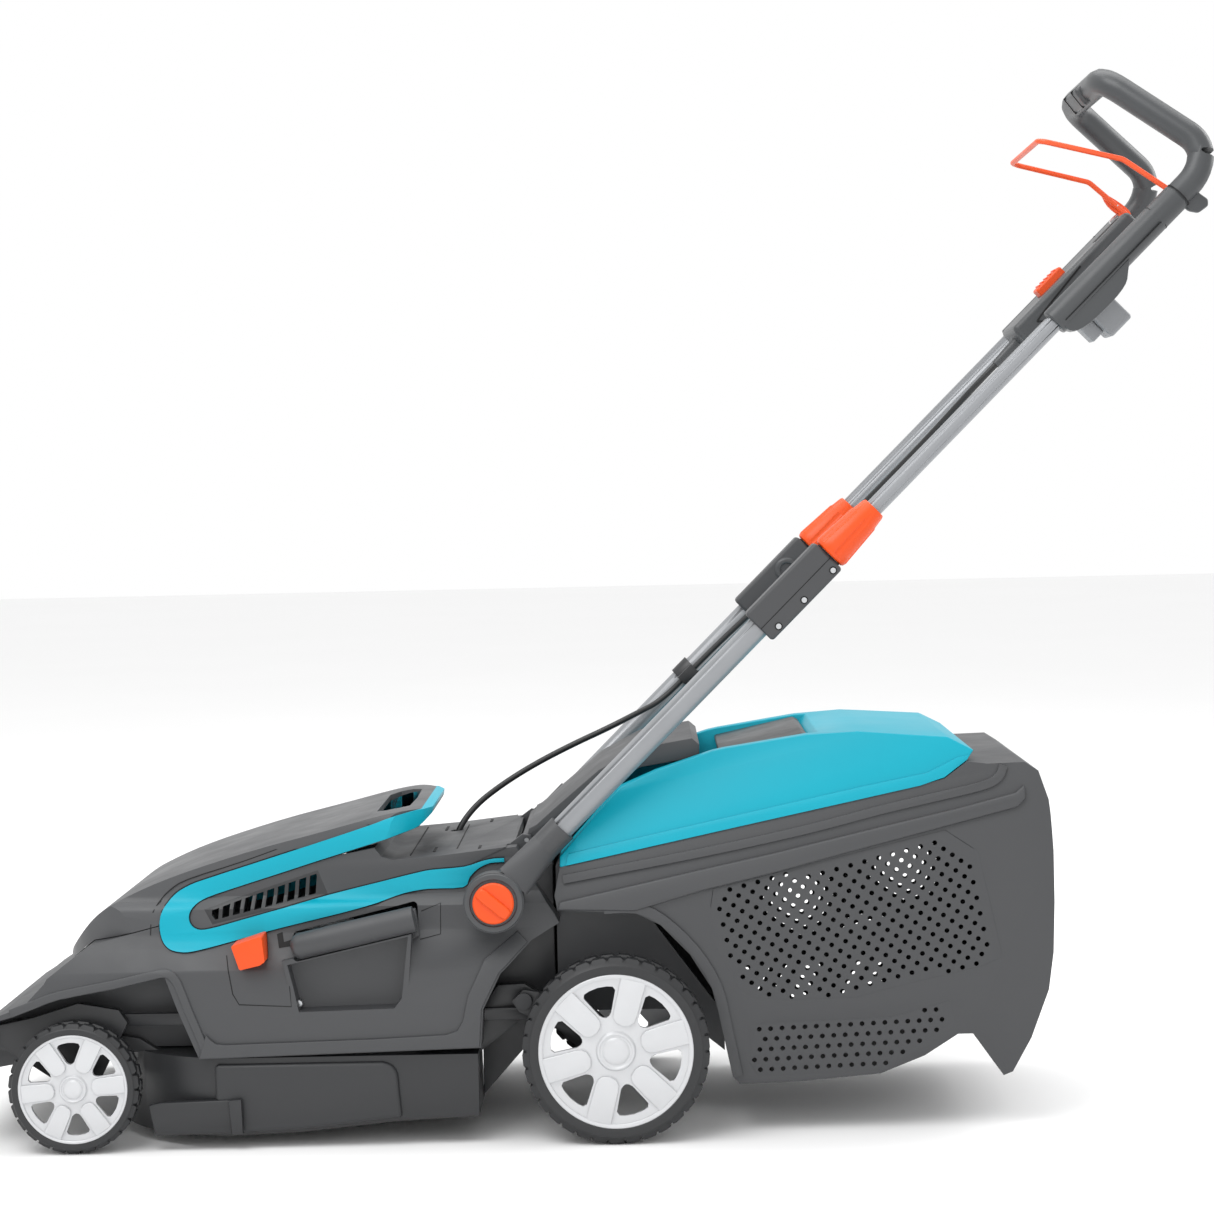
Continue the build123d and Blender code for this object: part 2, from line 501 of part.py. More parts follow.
def handle_loop():
    """Two sleeves over the upper tubes, joined by the loop that the hands hold."""
    left, right = loop_path(-1), loop_path(1)
    path = FilletPolyline(*left[:-1], *reversed(right[:-1]), radius=[22, 26, 34, 34, 26, 22])
    start = Plane(origin=path @ 0, z_dir=path % 0)
    loop = sweep(start * Circle(LOOP_R), path=path)
    for side in SIDES.values():
        loop += handle_block(SLEEVE[0], SLEEVE[1], side * TUBE_Y, 30, -15, 15, 7)
        loop += handle_block(SLEEVE[0] + 6, 950, side * TUBE_Y, 24, -27, -8, 4)
        loop -= handle_rod(SLEEVE[0] - 9, SLEEVE[0] + 80, side * TUBE_Y, UPPER_TUBE_R)
        loop -= cross_rod(side, BAIL_PIVOT, 0, 150, BAIL_R + RUNNING)
    return loop + handle_block(1044, 1064, -156, 10, -30, -8, 3)


def switch_box():
    """Housing between the sleeves, with a bridge to both of them and the boot of the lead."""
    box = handle_block(838, 1020, 0, 96, -13, 21, 6)
    box += handle_block(888, 960, 0, 2 * (TUBE_Y - 15), -11, 9, 3)
    boot_start = Plane(origin=(803, 0, 3), x_dir=(0, 1, 0), z_dir=(1, 0, 0))
    box += HANDLE * loft([boot_start * Circle(5), boot_start.offset(50) * Circle(8.5)])
    box -= handle_rod(790, 820, 0, LEAD_R, lift=3)
    box -= handle_block(846, 880, 0, 80, -8, 16) + handle_block(942, 1012, 0, 80, -8, 16)
    return box - handle_block(BUTTON[0] - GAP, BUTTON[1] + GAP, 0, 28 + 2 * GAP, 8, 60)


def bail():
    """Bent wire that starts the motor when it is pulled to the loop."""
    points = []
    for side in (-1, 1):
        run = [(BAIL_PIVOT[0], side * 149.5, BAIL_PIVOT[1]), (BAIL_PIVOT[0], side * 126, BAIL_PIVOT[1]),
               (568, side * 108, 1041), (478, side * 104, 1064)]
        points += run if side < 0 else run[::-1]
    path = FilletPolyline(*points, radius=[8, 14, 12, 12, 14, 8])
    return sweep(Plane(origin=path @ 0, z_dir=path % 0) * Circle(BAIL_R), path=path)


def power_inlet():
    """Square shroud round the pins for the mains lead, open downwards."""
    shroud = handle_block(898, 930, -88, 44, -60, -11, 4) - handle_block(901, 927, -88, 38, -70, -36)
    shroud += handle_block(882, 898, -88, 26, -50, -11, 2)
    for y in (-97, -79):
        shroud += handle_block(912, 916, y, 3, -52, -35)
    return shroud


def make_handle():
    for word, side in SIDES.items():
        save(word + "_elbow", elbow(side))
        save(word + "_hinge_knob", hinge_knob(side))
        save(word + "_lower_tube", handle_rod(76, TUBE_END, side * TUBE_Y, LOWER_TUBE_R, LOWER_BORE_R))
        save(word + "_clamp_block", clamp_block(side))
        save(word + "_lock_nut", lock_nut(side))
        save(word + "_upper_tube", handle_rod(335, SLEEVE[0] + 80, side * TUBE_Y, UPPER_TUBE_R, UPPER_BORE_R))
    save("handle_loop", handle_loop())
    save("switch_box", switch_box())
    save("start_button", handle_block(BUTTON[0], BUTTON[1], 0, 28, 12, 30, 3))
    save("power_inlet", power_inlet())
    save("bail", bail())
    ring = handle_rod(CLIP[0], CLIP[1], TUBE_Y, LOWER_TUBE_R + 3)
    hook = handle_block(CLIP[0], CLIP[1], 141, 18, -6, 6)
    for y, radius in ((TUBE_Y, LOWER_TUBE_R), (LEAD_RUN[0][1], LEAD_R)):
        bore = handle_rod(CLIP[0] - 1, CLIP[1] + 1, y, radius)
        ring, hook = ring - bore, hook - bore
    save("cable_clip", ring + hook)


# ---- motor lead ----
def lead(name, points):
    """Lead along straight runs joined by arcs, each arc as large as its two runs allow."""
    radii = []
    for before, corner, after in zip(points, points[1:], points[2:]):
        turn = math.radians((corner - before).get_angle(after - corner))
        shorter = min((corner - before).length, (after - corner).length)
        radii.append(0.45 * shorter / math.tan(turn / 2))
    path = FilletPolyline(*points, radius=radii)
    solid = sweep(Plane(origin=path @ 0, z_dir=path % 0) * Circle(LEAD_R), path=path)
    straight = math.pi * LEAD_R ** 2 * path.length
    print(name, "radii", [round(r) for r in radii], "length", round(path.length),
          "volume ratio", round(solid.volume / straight, 4))
    save(name, solid)


def make_lead():
    lead("lead_bow", [Vector(*point) for point in LEAD_BOW])
    lead("lead_run", [HANDLE.from_local_coords(Vector(*point)) for point in LEAD_RUN])


# ---- rear flap and catcher ----
def rear_flap():
    """Cover over the discharge mouth, hollow below, with a hinge barrel at its front edge."""
    under = [(x, z - 22) for x, z in FLAP_TOP[1:-1]]
    outline = FLAP_TOP + [(88, 386)] + under[::-1][1:] + [(-96, 309)]
    flap = slab(outline, -FLAP_HALF, FLAP_HALF)
    lower = [(x, z - 4) for x, z in FLAP_TOP[1:-2]] + [(92, 380), (88, 370)]
    bore = [(-60, 300)] + lower[1:]
    flap -= slab(bore, 3 - FLAP_HALF, FLAP_HALF - 3)
    flap += rod((FLAP_HINGE[0], -FLAP_HALF, FLAP_HINGE[1]), (FLAP_HINGE[0], FLAP_HALF, FLAP_HINGE[1]), 6)
    return flap - rod((FLAP_HINGE[0], -150, FLAP_HINGE[1]), (FLAP_HINGE[0], 150, FLAP_HINGE[1]), 2.5 + RUNNING)


def rim_prism(section):
    """Cross-section of (y, height above the rim), run along the sloping rim of the catcher."""
    slope = math.radians(CATCHER_SLOPE)
    frame = Plane(origin=(CATCHER_RIM[0], 0, CATCHER_RIM[1]), x_dir=(0, 1, 0),
                  z_dir=(math.cos(slope), 0, math.sin(slope)))
    full = section + [(-y, h) for y, h in reversed(section)]
    face = make_face(Polyline(*full, close=True))
    return frame.offset(-150) * extrude(face, amount=900), frame.offset(-150) * extrude(
        offset(face, amount=-2.4, kind=Kind.INTERSECTION), amount=900)


def make_catcher():
    rim = CATCHER_HALF
    outer_form, inner_form = rim_prism([(-rim + 22, -330), (-rim + 6, -150), (-rim, -75), (-rim, -58),
                                        (-166, 0), (-166, 60)])
    outline, inset = side_face(CATCHER_SIDE), offset(side_face(CATCHER_SIDE), amount=-2.4, kind=Kind.INTERSECTION)
    outer = Pos(0, -THROUGH, 0) * extrude(outline, amount=2 * THROUGH, dir=(0, 1, 0)) & outer_form
    inner = Pos(0, -THROUGH, 0) * extrude(inset, amount=2 * THROUGH, dir=(0, 1, 0)) & inner_form
    neck = slab(MOUTH_NECK, -MOUTH_HALF, MOUTH_HALF)
    neck_bore = slab([(-80, 282), (-80, 131), (58, 131), (121, 84), (135, 120), (60, 270)], 3 - MOUTH_HALF,
                     MOUTH_HALF - 3)
    top_opening = rim_prism([(-150, -20), (-150, 90)])[0]
    top_opening &= Pos(150, 0, 350) * Box(380, 400, 400)
    shell = outer + neck - inner - neck_bore - top_opening
    save("catcher_shell", shell)

    form, cavity = rim_prism([(-166, -20), (-166, 0), (-160, 14), (-142, 62), (-128, 82)])
    trough = slab(LID_TROUGH, -112, 112)
    trough_wall = slab([(x, z - 3) for x, z in LID_TROUGH[:-2]] + [(240, 440), (-70, 440)], -115, 115)
    lid_inner = offset(side_face(LID_SIDE), amount=-3, kind=Kind.INTERSECTION)
    lid = (slab(LID_SIDE, -THROUGH, THROUGH) & form) - trough
    hollow = Pos(0, -THROUGH, 0) * extrude(lid_inner, amount=2 * THROUGH, dir=(0, 1, 0)) & cavity
    hollow += Pos(4, 0, -5) * hollow & Pos(150, 0, 350) * Box(360, 300, 400)
    lid -= hollow - trough_wall
    save("catcher_lid", lid)
    grip = slab([(118, 404), (211, 424), (219, 420), (211, 409), (122, 390)], -112, 112, 3)
    save("catcher_grip", grip)
    save("rear_flap", rear_flap())


make_wheels()
make_linkage()
make_body()
make_cutter()
make_height_button()
make_handle()
make_lead()
make_catcher()
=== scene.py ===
import json
import math

import bpy
from mathutils import Matrix, Vector


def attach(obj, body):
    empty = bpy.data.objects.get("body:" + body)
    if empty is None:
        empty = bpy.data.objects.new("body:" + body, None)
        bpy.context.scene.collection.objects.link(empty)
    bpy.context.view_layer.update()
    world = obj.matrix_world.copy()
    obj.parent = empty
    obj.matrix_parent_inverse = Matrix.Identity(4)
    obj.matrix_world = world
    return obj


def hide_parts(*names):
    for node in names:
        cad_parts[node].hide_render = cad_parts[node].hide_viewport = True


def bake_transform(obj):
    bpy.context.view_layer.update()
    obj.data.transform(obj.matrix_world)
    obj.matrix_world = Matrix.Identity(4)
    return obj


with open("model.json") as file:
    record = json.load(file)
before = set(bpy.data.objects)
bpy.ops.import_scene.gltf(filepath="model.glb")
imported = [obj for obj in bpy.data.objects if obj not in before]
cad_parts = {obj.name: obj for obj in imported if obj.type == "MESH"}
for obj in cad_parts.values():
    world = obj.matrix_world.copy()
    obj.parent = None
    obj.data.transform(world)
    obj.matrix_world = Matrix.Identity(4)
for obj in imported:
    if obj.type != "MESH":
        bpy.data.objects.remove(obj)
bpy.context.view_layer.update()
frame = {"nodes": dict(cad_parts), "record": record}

MM = 0.001
AXLE_X = 27.0                        # rear axle, from the part's origin
HANDLE_ANGLE = math.radians(44.7)
FOLD = (-127.0, 260.0)
ALONG = Vector((math.cos(HANDLE_ANGLE), 0, math.sin(HANDLE_ANGLE)))
LIFT = Vector((-math.sin(HANDLE_ANGLE), 0, math.cos(HANDLE_ANGLE)))
TUBE_Y = 162.0
SIDES = {"left": -1, "right": 1}
# Half width of the body by height, and of the catcher by distance from its rim.
BODY_SECTION = [(60, 205), (100, 201), (150, 199), (190, 190), (212, 174), (226, 166), (252, 160),
                (264, 147), (300, 141), (340, 136), (353, 124)]
CATCHER_SECTION = [(-330, 164), (-150, 180), (-75, 186), (-58, 186), (0, 166), (62, 166)]
LID_SECTION = [(-20, 166), (0, 166), (14, 160), (62, 142), (82, 128)]
RIM_SLOPE = math.radians(11.8)
RIM_START = (-57.0, 291.0)
RIM_LEAD = 0.12                      # how far before the rim a surface starts, in metres
# Surfaces over the whole machine start ahead of its nose, in millimetres, and run past its tail,
# in metres. The patches on the left flank are cut from plates between these two values of y.
FORM_START, FORM_LENGTH = -760, 0.76
PLATE_OUT, PLATE_IN = -240, -100
BLANK_HALF = 230                     # half width of a blank across the machine
PLAN_HEIGHT = 0.6                    # height that a plan is extruded to, in metres


# ---- places ----
def place(x, y, z):
    """A point given in millimetres from the rear axle."""
    return Vector(((x + AXLE_X) * MM, y * MM, z * MM))


def on_handle(s, y, lift):
    """A point given by its station along the handle, its y and its lift, in millimetres."""
    return place(FOLD[0], y, FOLD[1]) + (ALONG * s + LIFT * lift) * MM


def flowing(points, steps=5):
    """An open line of 2-D points drawn as a smooth curve through all of them."""
    path = [Vector(point) for point in points]
    ends = [2 * path[0] - path[1]] + path + [2 * path[-1] - path[-2]]
    curve = []
    for before, start, end, after in zip(ends, ends[1:], ends[2:], ends[3:]):
        for step in range(steps):
            t = step / steps
            curve.append(0.5 * (2 * start + (end - before) * t
                                + (2 * before - 5 * start + 4 * end - after) * t * t
                                + (3 * start - before - 3 * end + after) * t ** 3))
    return curve + [path[-1]]


def strip(points, width):
    """The outline of a band of even width along an open line of 2-D points."""
    path = [Vector(point) for point in points]
    edges = ([], [])
    for before, point, after in zip([path[0]] + path, path, path[1:] + [path[-1]]):
        way = (after - before).normalized() * width / 2
        edges[0].append(point + Vector((-way.y, way.x)))
        edges[1].append(point - Vector((-way.y, way.x)))
    return edges[0] + edges[1][::-1]


def eased(points, reach, steps=6):
    """A line of places with each corner rounded off from a given distance, in millimetres."""
    path = [points[0]]
    for before, corner, after, far in zip(points, points[1:], points[2:], reach):
        start = corner + (before - corner).normalized() * far * MM
        end = corner + (after - corner).normalized() * far * MM
        for step in range(steps + 1):
            t = step / steps
            path.append(start * (1 - t) ** 2 + corner * 2 * t * (1 - t) + end * t * t)
    return path + [points[-1]]


def inside(point, outline):
    """True when a 2-D point lies within an outline."""
    x, z = point
    within = False
    for (x1, z1), (x2, z2) in zip(outline, outline[1:] + outline[:1]):
        if (z1 > z) != (z2 > z) and x < (x2 - x1) * (z - z1) / (z2 - z1) + x1:
            within = not within
    return within


# ---- working with pieces ----
def object_mode():
    if bpy.context.object and bpy.context.object.mode != "OBJECT":
        bpy.ops.object.mode_set(mode="OBJECT")


def select_only(*pieces):
    object_mode()
    bpy.ops.object.select_all(action="DESELECT")
    for piece in pieces:
        piece.select_set(True)
    bpy.context.view_layer.objects.active = pieces[0]


def edit(piece, select="SELECT"):
    """Edit mode on one piece, with everything in it selected or nothing."""
    select_only(piece)
    bpy.ops.object.mode_set(mode="EDIT")
    bpy.ops.mesh.select_all(action=select)


def settle(piece):
    """Merge doubles, face outwards and put the piece's place into its mesh."""
    edit(piece)
    bpy.ops.mesh.remove_doubles(threshold=1e-6)
    bpy.ops.mesh.normals_make_consistent(inside=False)
    object_mode()
    bpy.ops.object.transform_apply(location=True, rotation=True, scale=True)
    return piece


def modify(piece, kind, **settings):
    """Add one modifier, set it and apply it."""
    select_only(piece)
    modifier = piece.modifiers.new(kind.title(), kind)
    for name, value in settings.items():
        setattr(modifier, name, value)
    bpy.ops.object.modifier_apply(modifier=modifier.name)
    return piece


def soften(piece, width, angle=28, segments=2, smooth=32):
    """Round the edges sharper than an angle, then shade the rest smooth."""
    if width:
        modify(piece, "BEVEL", width=width * MM, segments=segments, limit_method="ANGLE",
               angle_limit=math.radians(angle), use_clamp_overlap=True, harden_normals=False)
    select_only(piece)
    bpy.ops.object.shade_smooth_by_angle(angle=math.radians(smooth))
    return piece


def join(name, pieces):
    """Several meshes as one piece."""
    select_only(*pieces)
    if len(pieces) > 1:
        bpy.ops.object.join()
    pieces[0].name = name
    return pieces[0]


def copy_of(piece, turn=None):
    """A copy with its own mesh, moved by a matrix."""
    twin = piece.copy()
    twin.data = piece.data.copy()
    bpy.context.collection.objects.link(twin)
    if turn is not None:
        twin.data.transform(turn)
    return twin


def mirrored(piece, name):
    """The same piece on the other side of the machine."""
    twin = copy_of(piece, Matrix.Scale(-1, 4, (0, 1, 0)))
    twin.name = name
    select_only(twin)
    bpy.ops.object.mode_set(mode="EDIT")
    bpy.ops.mesh.select_all(action="SELECT")
    bpy.ops.mesh.flip_normals()
    object_mode()
    return twin


def cut(piece, *tools, operation="DIFFERENCE"):
    """Boolean with one or more tools, which are used up."""
    for tool in tools:
        modify(piece, "BOOLEAN", object=tool, operation=operation, solver="EXACT")
        bpy.data.objects.remove(tool)
    return piece


def ring_of(points, name="outline", fill="NGON"):
    """A closed outline, started as a circle whose corners are moved to their places."""
    object_mode()
    bpy.ops.object.select_all(action="DESELECT")
    bpy.ops.mesh.primitive_circle_add(vertices=len(points), fill_type=fill)
    piece = bpy.context.object
    piece.name = name
    for vertex, point in zip(piece.data.vertices, points):
        vertex.co = point
    return piece


def extruded(name, points, step):
    """A solid from a closed outline of points and the step it is extruded by."""
    piece = ring_of(points, name)
    edit(piece)
    bpy.ops.mesh.extrude_region_move(TRANSFORM_OT_translate={"value": tuple(step)})
    return settle(piece)


def side_plate(name, outline, y_low, y_high):
    """A solid with a side-view outline of (x, z), between two values of y."""
    points = [place(x, y_low, z) for x, z in outline]
    return extruded(name, points, (0, (y_high - y_low) * MM, 0))


def skin(name, outline, table, proud, depth, rim=False):
    """A patch over the left flank. Its side view is an outline and its thickness is even, from a
    surface given as rows of (height, half width). Heights are above the ground, or above the
    sloping rim of the catcher."""
    run = Vector((math.cos(RIM_SLOPE), 0, math.sin(RIM_SLOPE))) if rim else Vector((1, 0, 0))
    up = Vector((-run.z, 0, run.x))
    start = place(RIM_START[0], 0,
                  RIM_START[1]) - run * RIM_LEAD if rim else place(FORM_START, 0, 0)
    rows = [(height, -half - proud) for height, half in table]
    rows += [(height, depth - half) for height, half in reversed(table)]
    points = [start + (up * height + Vector((0, y, 0))) * MM for height, y in rows]
    slice_ = extruded("surface", points, run * FORM_LENGTH)
    return cut(side_plate(name, outline, PLATE_OUT, PLATE_IN), slice_, operation="INTERSECT")


def handle_plate(name, outline, y_low, y_high):
    """The same, with its outline given as (station, lift) along the handle."""
    points = [on_handle(s, y_low, lift) for s, lift in outline]
    return extruded(name, points, (0, (y_high - y_low) * MM, 0))


def turned(name, profile, centre, axis, steps=64):
    """A body of revolution: (radius, distance along the axis) spun round an axis at a point."""
    axis = Vector(axis).normalized()
    across = axis.orthogonal().normalized()
    points = [centre + (across * radius + axis * along) * MM for radius, along in profile]
    piece = ring_of(points, name, fill="NOTHING")
    edit(piece)
    bpy.ops.mesh.spin(steps=steps, angle=2 * math.pi, center=centre, axis=axis)
    return settle(piece)


def bar(name, start, end, radius, vertices=24):
    """A round bar between two points."""
    object_mode()
    bpy.ops.object.select_all(action="DESELECT")
    run = end - start
    bpy.ops.mesh.primitive_cylinder_add(vertices=vertices, radius=radius * MM, depth=run.length,
                                        location=(start + end) / 2,
                                        rotation=run.to_track_quat("Z", "Y").to_euler())
    piece = bpy.context.object
    piece.name = name
    return settle(piece)


def box(name, centre, size, turn=(0, 0, 0)):
    """A block at a place, in millimetres."""
    object_mode()
    bpy.ops.object.select_all(action="DESELECT")
    bpy.ops.mesh.primitive_cube_add(size=1, location=centre, rotation=turn)
    piece = bpy.context.object
    piece.name = name
    piece.scale = Vector(size) * MM
    return settle(piece)


def from_cad(node, name):
    """A copy of a CAD node with its doubles merged and its flat faces whole again."""
    twin = copy_of(frame["nodes"][node])
    twin.name = name
    twin.parent = None
    twin.matrix_world = Matrix.Identity(4)
    edit(twin)
    bpy.ops.mesh.remove_doubles(threshold=1e-5)
    bpy.ops.mesh.dissolve_limited(angle_limit=math.radians(0.6))
    object_mode()
    return twin


def wire(name, points, radius, resolution=8, smooth=True):
    """A round wire or cable along a smooth spline."""
    data = bpy.data.curves.new(name, "CURVE")
    data.dimensions = "3D"
    data.bevel_depth = radius * MM
    data.bevel_resolution = 4
    data.resolution_u = resolution
    data.use_fill_caps = True
    spline = data.splines.new("NURBS" if smooth else "POLY")
    spline.points.add(len(points) - 1)
    for point, target in zip(spline.points, points):
        point.co = (*target, 1)
    if smooth:
        spline.order_u = 3
        spline.use_endpoint_u = True
    piece = bpy.data.objects.new(name, data)
    bpy.context.collection.objects.link(piece)
    return piece


def as_mesh(curve):
    """The mesh that a curve is turned into."""
    select_only(curve)
    bpy.ops.object.convert(target="MESH")
    return bpy.context.object


# ---- finishes ----
def linear(code, alpha=1.0):
    """An sRGB hex colour as linear values."""
    channels = [int(code[i:i + 2], 16) / 255 for i in (1, 3, 5)]
    return [c / 12.92 if c <= 0.04045 else ((c + 0.055) / 1.055) ** 2.4 for c in channels] + [alpha]


def add(tree, kind, inputs=None, **settings):
    """Add a node, set its properties and set or link its inputs."""
    node = tree.nodes.new(kind)
    for name, value in settings.items():
        setattr(node, name, value)
    for name, value in (inputs or {}).items():
        if isinstance(value, bpy.types.NodeSocket):
            tree.links.new(value, node.inputs[name])
        else:
            node.inputs[name].default_value = value
    return node


def start_material(name, roughness, metallic=0.0, ior=1.5, coat=0.0, coat_roughness=0.2):
    """A new material with the plain values of its shader set."""
    material = bpy.data.materials.new(name)
    material.use_nodes = True
    shader = material.node_tree.nodes["Principled BSDF"]
    shader.inputs["Roughness"].default_value = roughness
    shader.inputs["Metallic"].default_value = metallic
    shader.inputs["IOR"].default_value = ior
    shader.inputs["Coat Weight"].default_value = coat
    shader.inputs["Coat Roughness"].default_value = coat_roughness
    return material, material.node_tree, shader


def grained(name, dark, light, roughness, grain_mm, depth, ior=1.5, metallic=0.0, coat=0.0,
            cloud_mm=60,
            roughness_spread=0.08):
    """Moulded or coated surface: a fine grain in the bump, broad faint clouds in tone and sheen."""
    material, tree, shader = start_material(name, roughness, metallic, ior, coat)
    where = add(tree, "ShaderNodeTexCoord").outputs["Object"]
    grain = add(tree, "ShaderNodeTexNoise",
                {"Vector": where, "Scale": 1000 / grain_mm, "Detail": 2.0})
    cloud = add(tree, "ShaderNodeTexNoise",
                {"Vector": where, "Scale": 1000 / cloud_mm, "Detail": 4.0,
                                             "Roughness": 0.6})
    tone = add(tree, "ShaderNodeMix", {"Factor": cloud.outputs["Fac"]}, data_type="RGBA")
    tone.inputs["A"].default_value = linear(dark)
    tone.inputs["B"].default_value = linear(light)
    sheen = add(tree, "ShaderNodeMapRange",
                {"Value": cloud.outputs["Fac"], "From Min": 0.3, "From Max": 0.7,
                                             "To Min": roughness - roughness_spread,
                                             "To Max": roughness + roughness_spread})
    bump = add(tree, "ShaderNodeBump",
               {"Height": grain.outputs["Fac"], "Strength": 1.0, "Distance": depth * MM})
    tree.links.new(tone.outputs["Result"], shader.inputs["Base Color"])
    tree.links.new(sheen.outputs["Result"], shader.inputs["Roughness"])
    tree.links.new(bump.outputs["Normal"], shader.inputs["Normal"])
    return material


# Polypropylene moulded in spark-eroded tools: a matte, evenly grained surface. The real grain of
# about 0.3 mm is drawn at 1.1 mm, so that it shows.
BODY_PP = grained("moulded_polypropylene_charcoal", "#38393B", "#404143", 0.52, 1.1, 0.05)
# The same plastic for the motor hood, a touch lighter.
HOOD_PP = grained("moulded_polypropylene_grey", "#3E3F41", "#464749", 0.46, 1.1, 0.05)
# Recycled polypropylene of the deck and other parts below: darker, a little smoother.
DECK_PP = grained("moulded_polypropylene_black", "#242527", "#2C2D2F", 0.48, 1.3, 0.04)
# Unpainted polyamide of small fittings: near black, semi-gloss.
FITTING_PA = grained("moulded_polyamide_black", "#1F2022", "#27282A", 0.42, 1.5, 0.02)
# ABS moulded in polished tools and lightly grained: strong turquoise, satin gloss.
TURQUOISE_ABS = grained("moulded_abs_turquoise", "#0093A8", "#009CB0", 0.42, 1.6, 0.02, ior=1.34,
                        cloud_mm=120,
                        roughness_spread=0.04)
# ABS in signal orange for what the hand turns or presses.
ORANGE_ABS = grained("moulded_abs_orange", "#D84608", "#E04E0E", 0.4, 1.6, 0.02, ior=1.42,
                     cloud_mm=80,
                     roughness_spread=0.04)
# Metallic grey paint on moulded nylon wheels: fine flake, satin.
WHEEL_PAINT = grained("metallic_paint_on_nylon", "#BCBDBF", "#C8C9CB", 0.38, 0.9, 0.015,
                      metallic=0.25, coat=0.15)
# Moulded tyre of thermoplastic rubber: black with a low sheen from the mould.
TYRE_TPE = grained("moulded_tyre_rubber", "#18191B", "#222325", 0.5, 1.4, 0.03, ior=1.52)
# Powder coat on steel tube: metallic mid grey, fine orange peel.
TUBE_COAT = grained("powder_coat_on_steel_tube", "#85878A", "#8F9194", 0.34, 1.8, 0.004,
                    metallic=0.35)
# Soft-touch coat on the loop and the switch box: smooth, satin.
SOFT_GREY = grained("satin_moulded_handle_plastic", "#393B3D", "#414345", 0.4, 1.2, 0.015,
                    cloud_mm=90)
# Lighter grey nylon of the inlet shroud and of small tabs.
PALE_PA = grained("moulded_nylon_light_grey", "#7C7E81", "#898B8E", 0.45, 1.2, 0.02)
# Steel wire dipped in orange polyamide.
WIRE_COAT = grained("dipped_coat_on_wire", "#DC4A18", "#E65420", 0.36, 1.5, 0.02)
# Zinc-plated steel: bright, slightly cloudy.
ZINC = grained("zinc_plated_steel", "#A9ABAD", "#C2C4C6", 0.34, 0.8, 0.01, metallic=1.0,
               cloud_mm=12)
# Hardened blade steel, oiled.
BLADE_STEEL = grained("ground_blade_steel", "#6C6D70", "#808184", 0.4, 0.9, 0.02, metallic=1.0,
                      cloud_mm=30)
# Die-cast aluminium of the motor housing: dull silver.
ALUMINIUM = grained("die_cast_aluminium", "#8E9093", "#A3A5A8", 0.45, 1.4, 0.03, metallic=1.0,
                    cloud_mm=25)
# Electrocoat on the steel tie rods and pivot screws: black, satin.
BLACK_STEEL = grained("black_electrocoat_on_steel", "#1D1E20", "#26272A", 0.4, 1.6, 0.01)
# Rubber sheath of the motor lead: black, smooth.
LEAD_RUBBER = grained("rubber_cable_sheath", "#141516", "#1C1D1E", 0.42, 1.0, 0.01)
# Inside of seams, gaps and slots, where no light comes: flat black.
SEAM_SHADE = grained("shaded_gap", "#0B0B0C", "#101011", 0.8, 2.0, 0.01)

FINISHES = {"charcoal_body": BODY_PP, "grey_hood": HOOD_PP, "black_plastic": FITTING_PA,
            "turquoise_plastic": TURQUOISE_ABS, "orange_plastic": ORANGE_ABS,
            "silver_plastic": WHEEL_PAINT,
            "light_grey_plastic": PALE_PA, "grey_loop": SOFT_GREY, "tyre_black": TYRE_TPE,
            "grey_tube": TUBE_COAT, "tube_steel": TUBE_COAT, "orange_wire": WIRE_COAT,
            "zinc_steel": ZINC,
            "blade_steel": BLADE_STEEL, "lead_rubber": LEAD_RUBBER, "cast_aluminium": ALUMINIUM,
            "black_steel": BLACK_STEEL}
SLOT_OF = {row["node"]: row["material_slot"] for row in frame["record"]["subparts"]}
BODY_OF = {node: body for body,
           nodes in frame["record"]["behaviour"]["bodies"].items() for node in nodes}
OWN_FINISH = {"deck_housing": DECK_PP, "discharge_chute": DECK_PP}

for node, cad in frame["nodes"].items():
    finish = OWN_FINISH.get(node, FINISHES[SLOT_OF[node]])
    for slot in cad.material_slots:
        slot.material = finish


def dress(piece, body, finish, slot, *nodes):
    """Give a piece its finish, the body it rides on and the CAD nodes that it stands for."""
    piece.data.materials.clear()
    piece.data.materials.append(finish)
    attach(piece, body)
    if nodes:
        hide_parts(*nodes)
    return piece


def refine(node, width, finish=None, **options):
    """The CAD node's own form with moulded edges, in place of the node."""
    piece = soften(from_cad(node, node + "_moulded"), width, **options)
    return dress(piece, BODY_OF[node], finish or FINISHES[SLOT_OF[node]], SLOT_OF[node], node)


# ---- camera and light ----
def aim(x, y, z, yaw, pitch, roll, focal):
    """Camera at a place, turned by yaw, pitch and roll in degrees."""
    yaw, pitch, roll = math.radians(yaw), math.radians(pitch), math.radians(roll)
    ahead = Vector((math.sin(yaw) * math.cos(pitch), math.cos(yaw) * math.cos(pitch),
                    math.sin(pitch)))
    level = Vector((math.cos(yaw), -math.sin(yaw), 0))
    above = level.cross(ahead)
    right = level * math.cos(roll) + above * math.sin(roll)
    up = above * math.cos(roll) - level * math.sin(roll)
    data = bpy.data.cameras.new("camera")
    data.sensor_width = 36.0
    data.lens = focal
    camera = bpy.data.objects.new("camera", data)
    bpy.context.collection.objects.link(camera)
    turn = Matrix((right, up, -ahead)).transposed().to_4x4()
    camera.matrix_world = Matrix.Translation(place(x, y, z)) @ turn
    bpy.context.scene.camera = camera


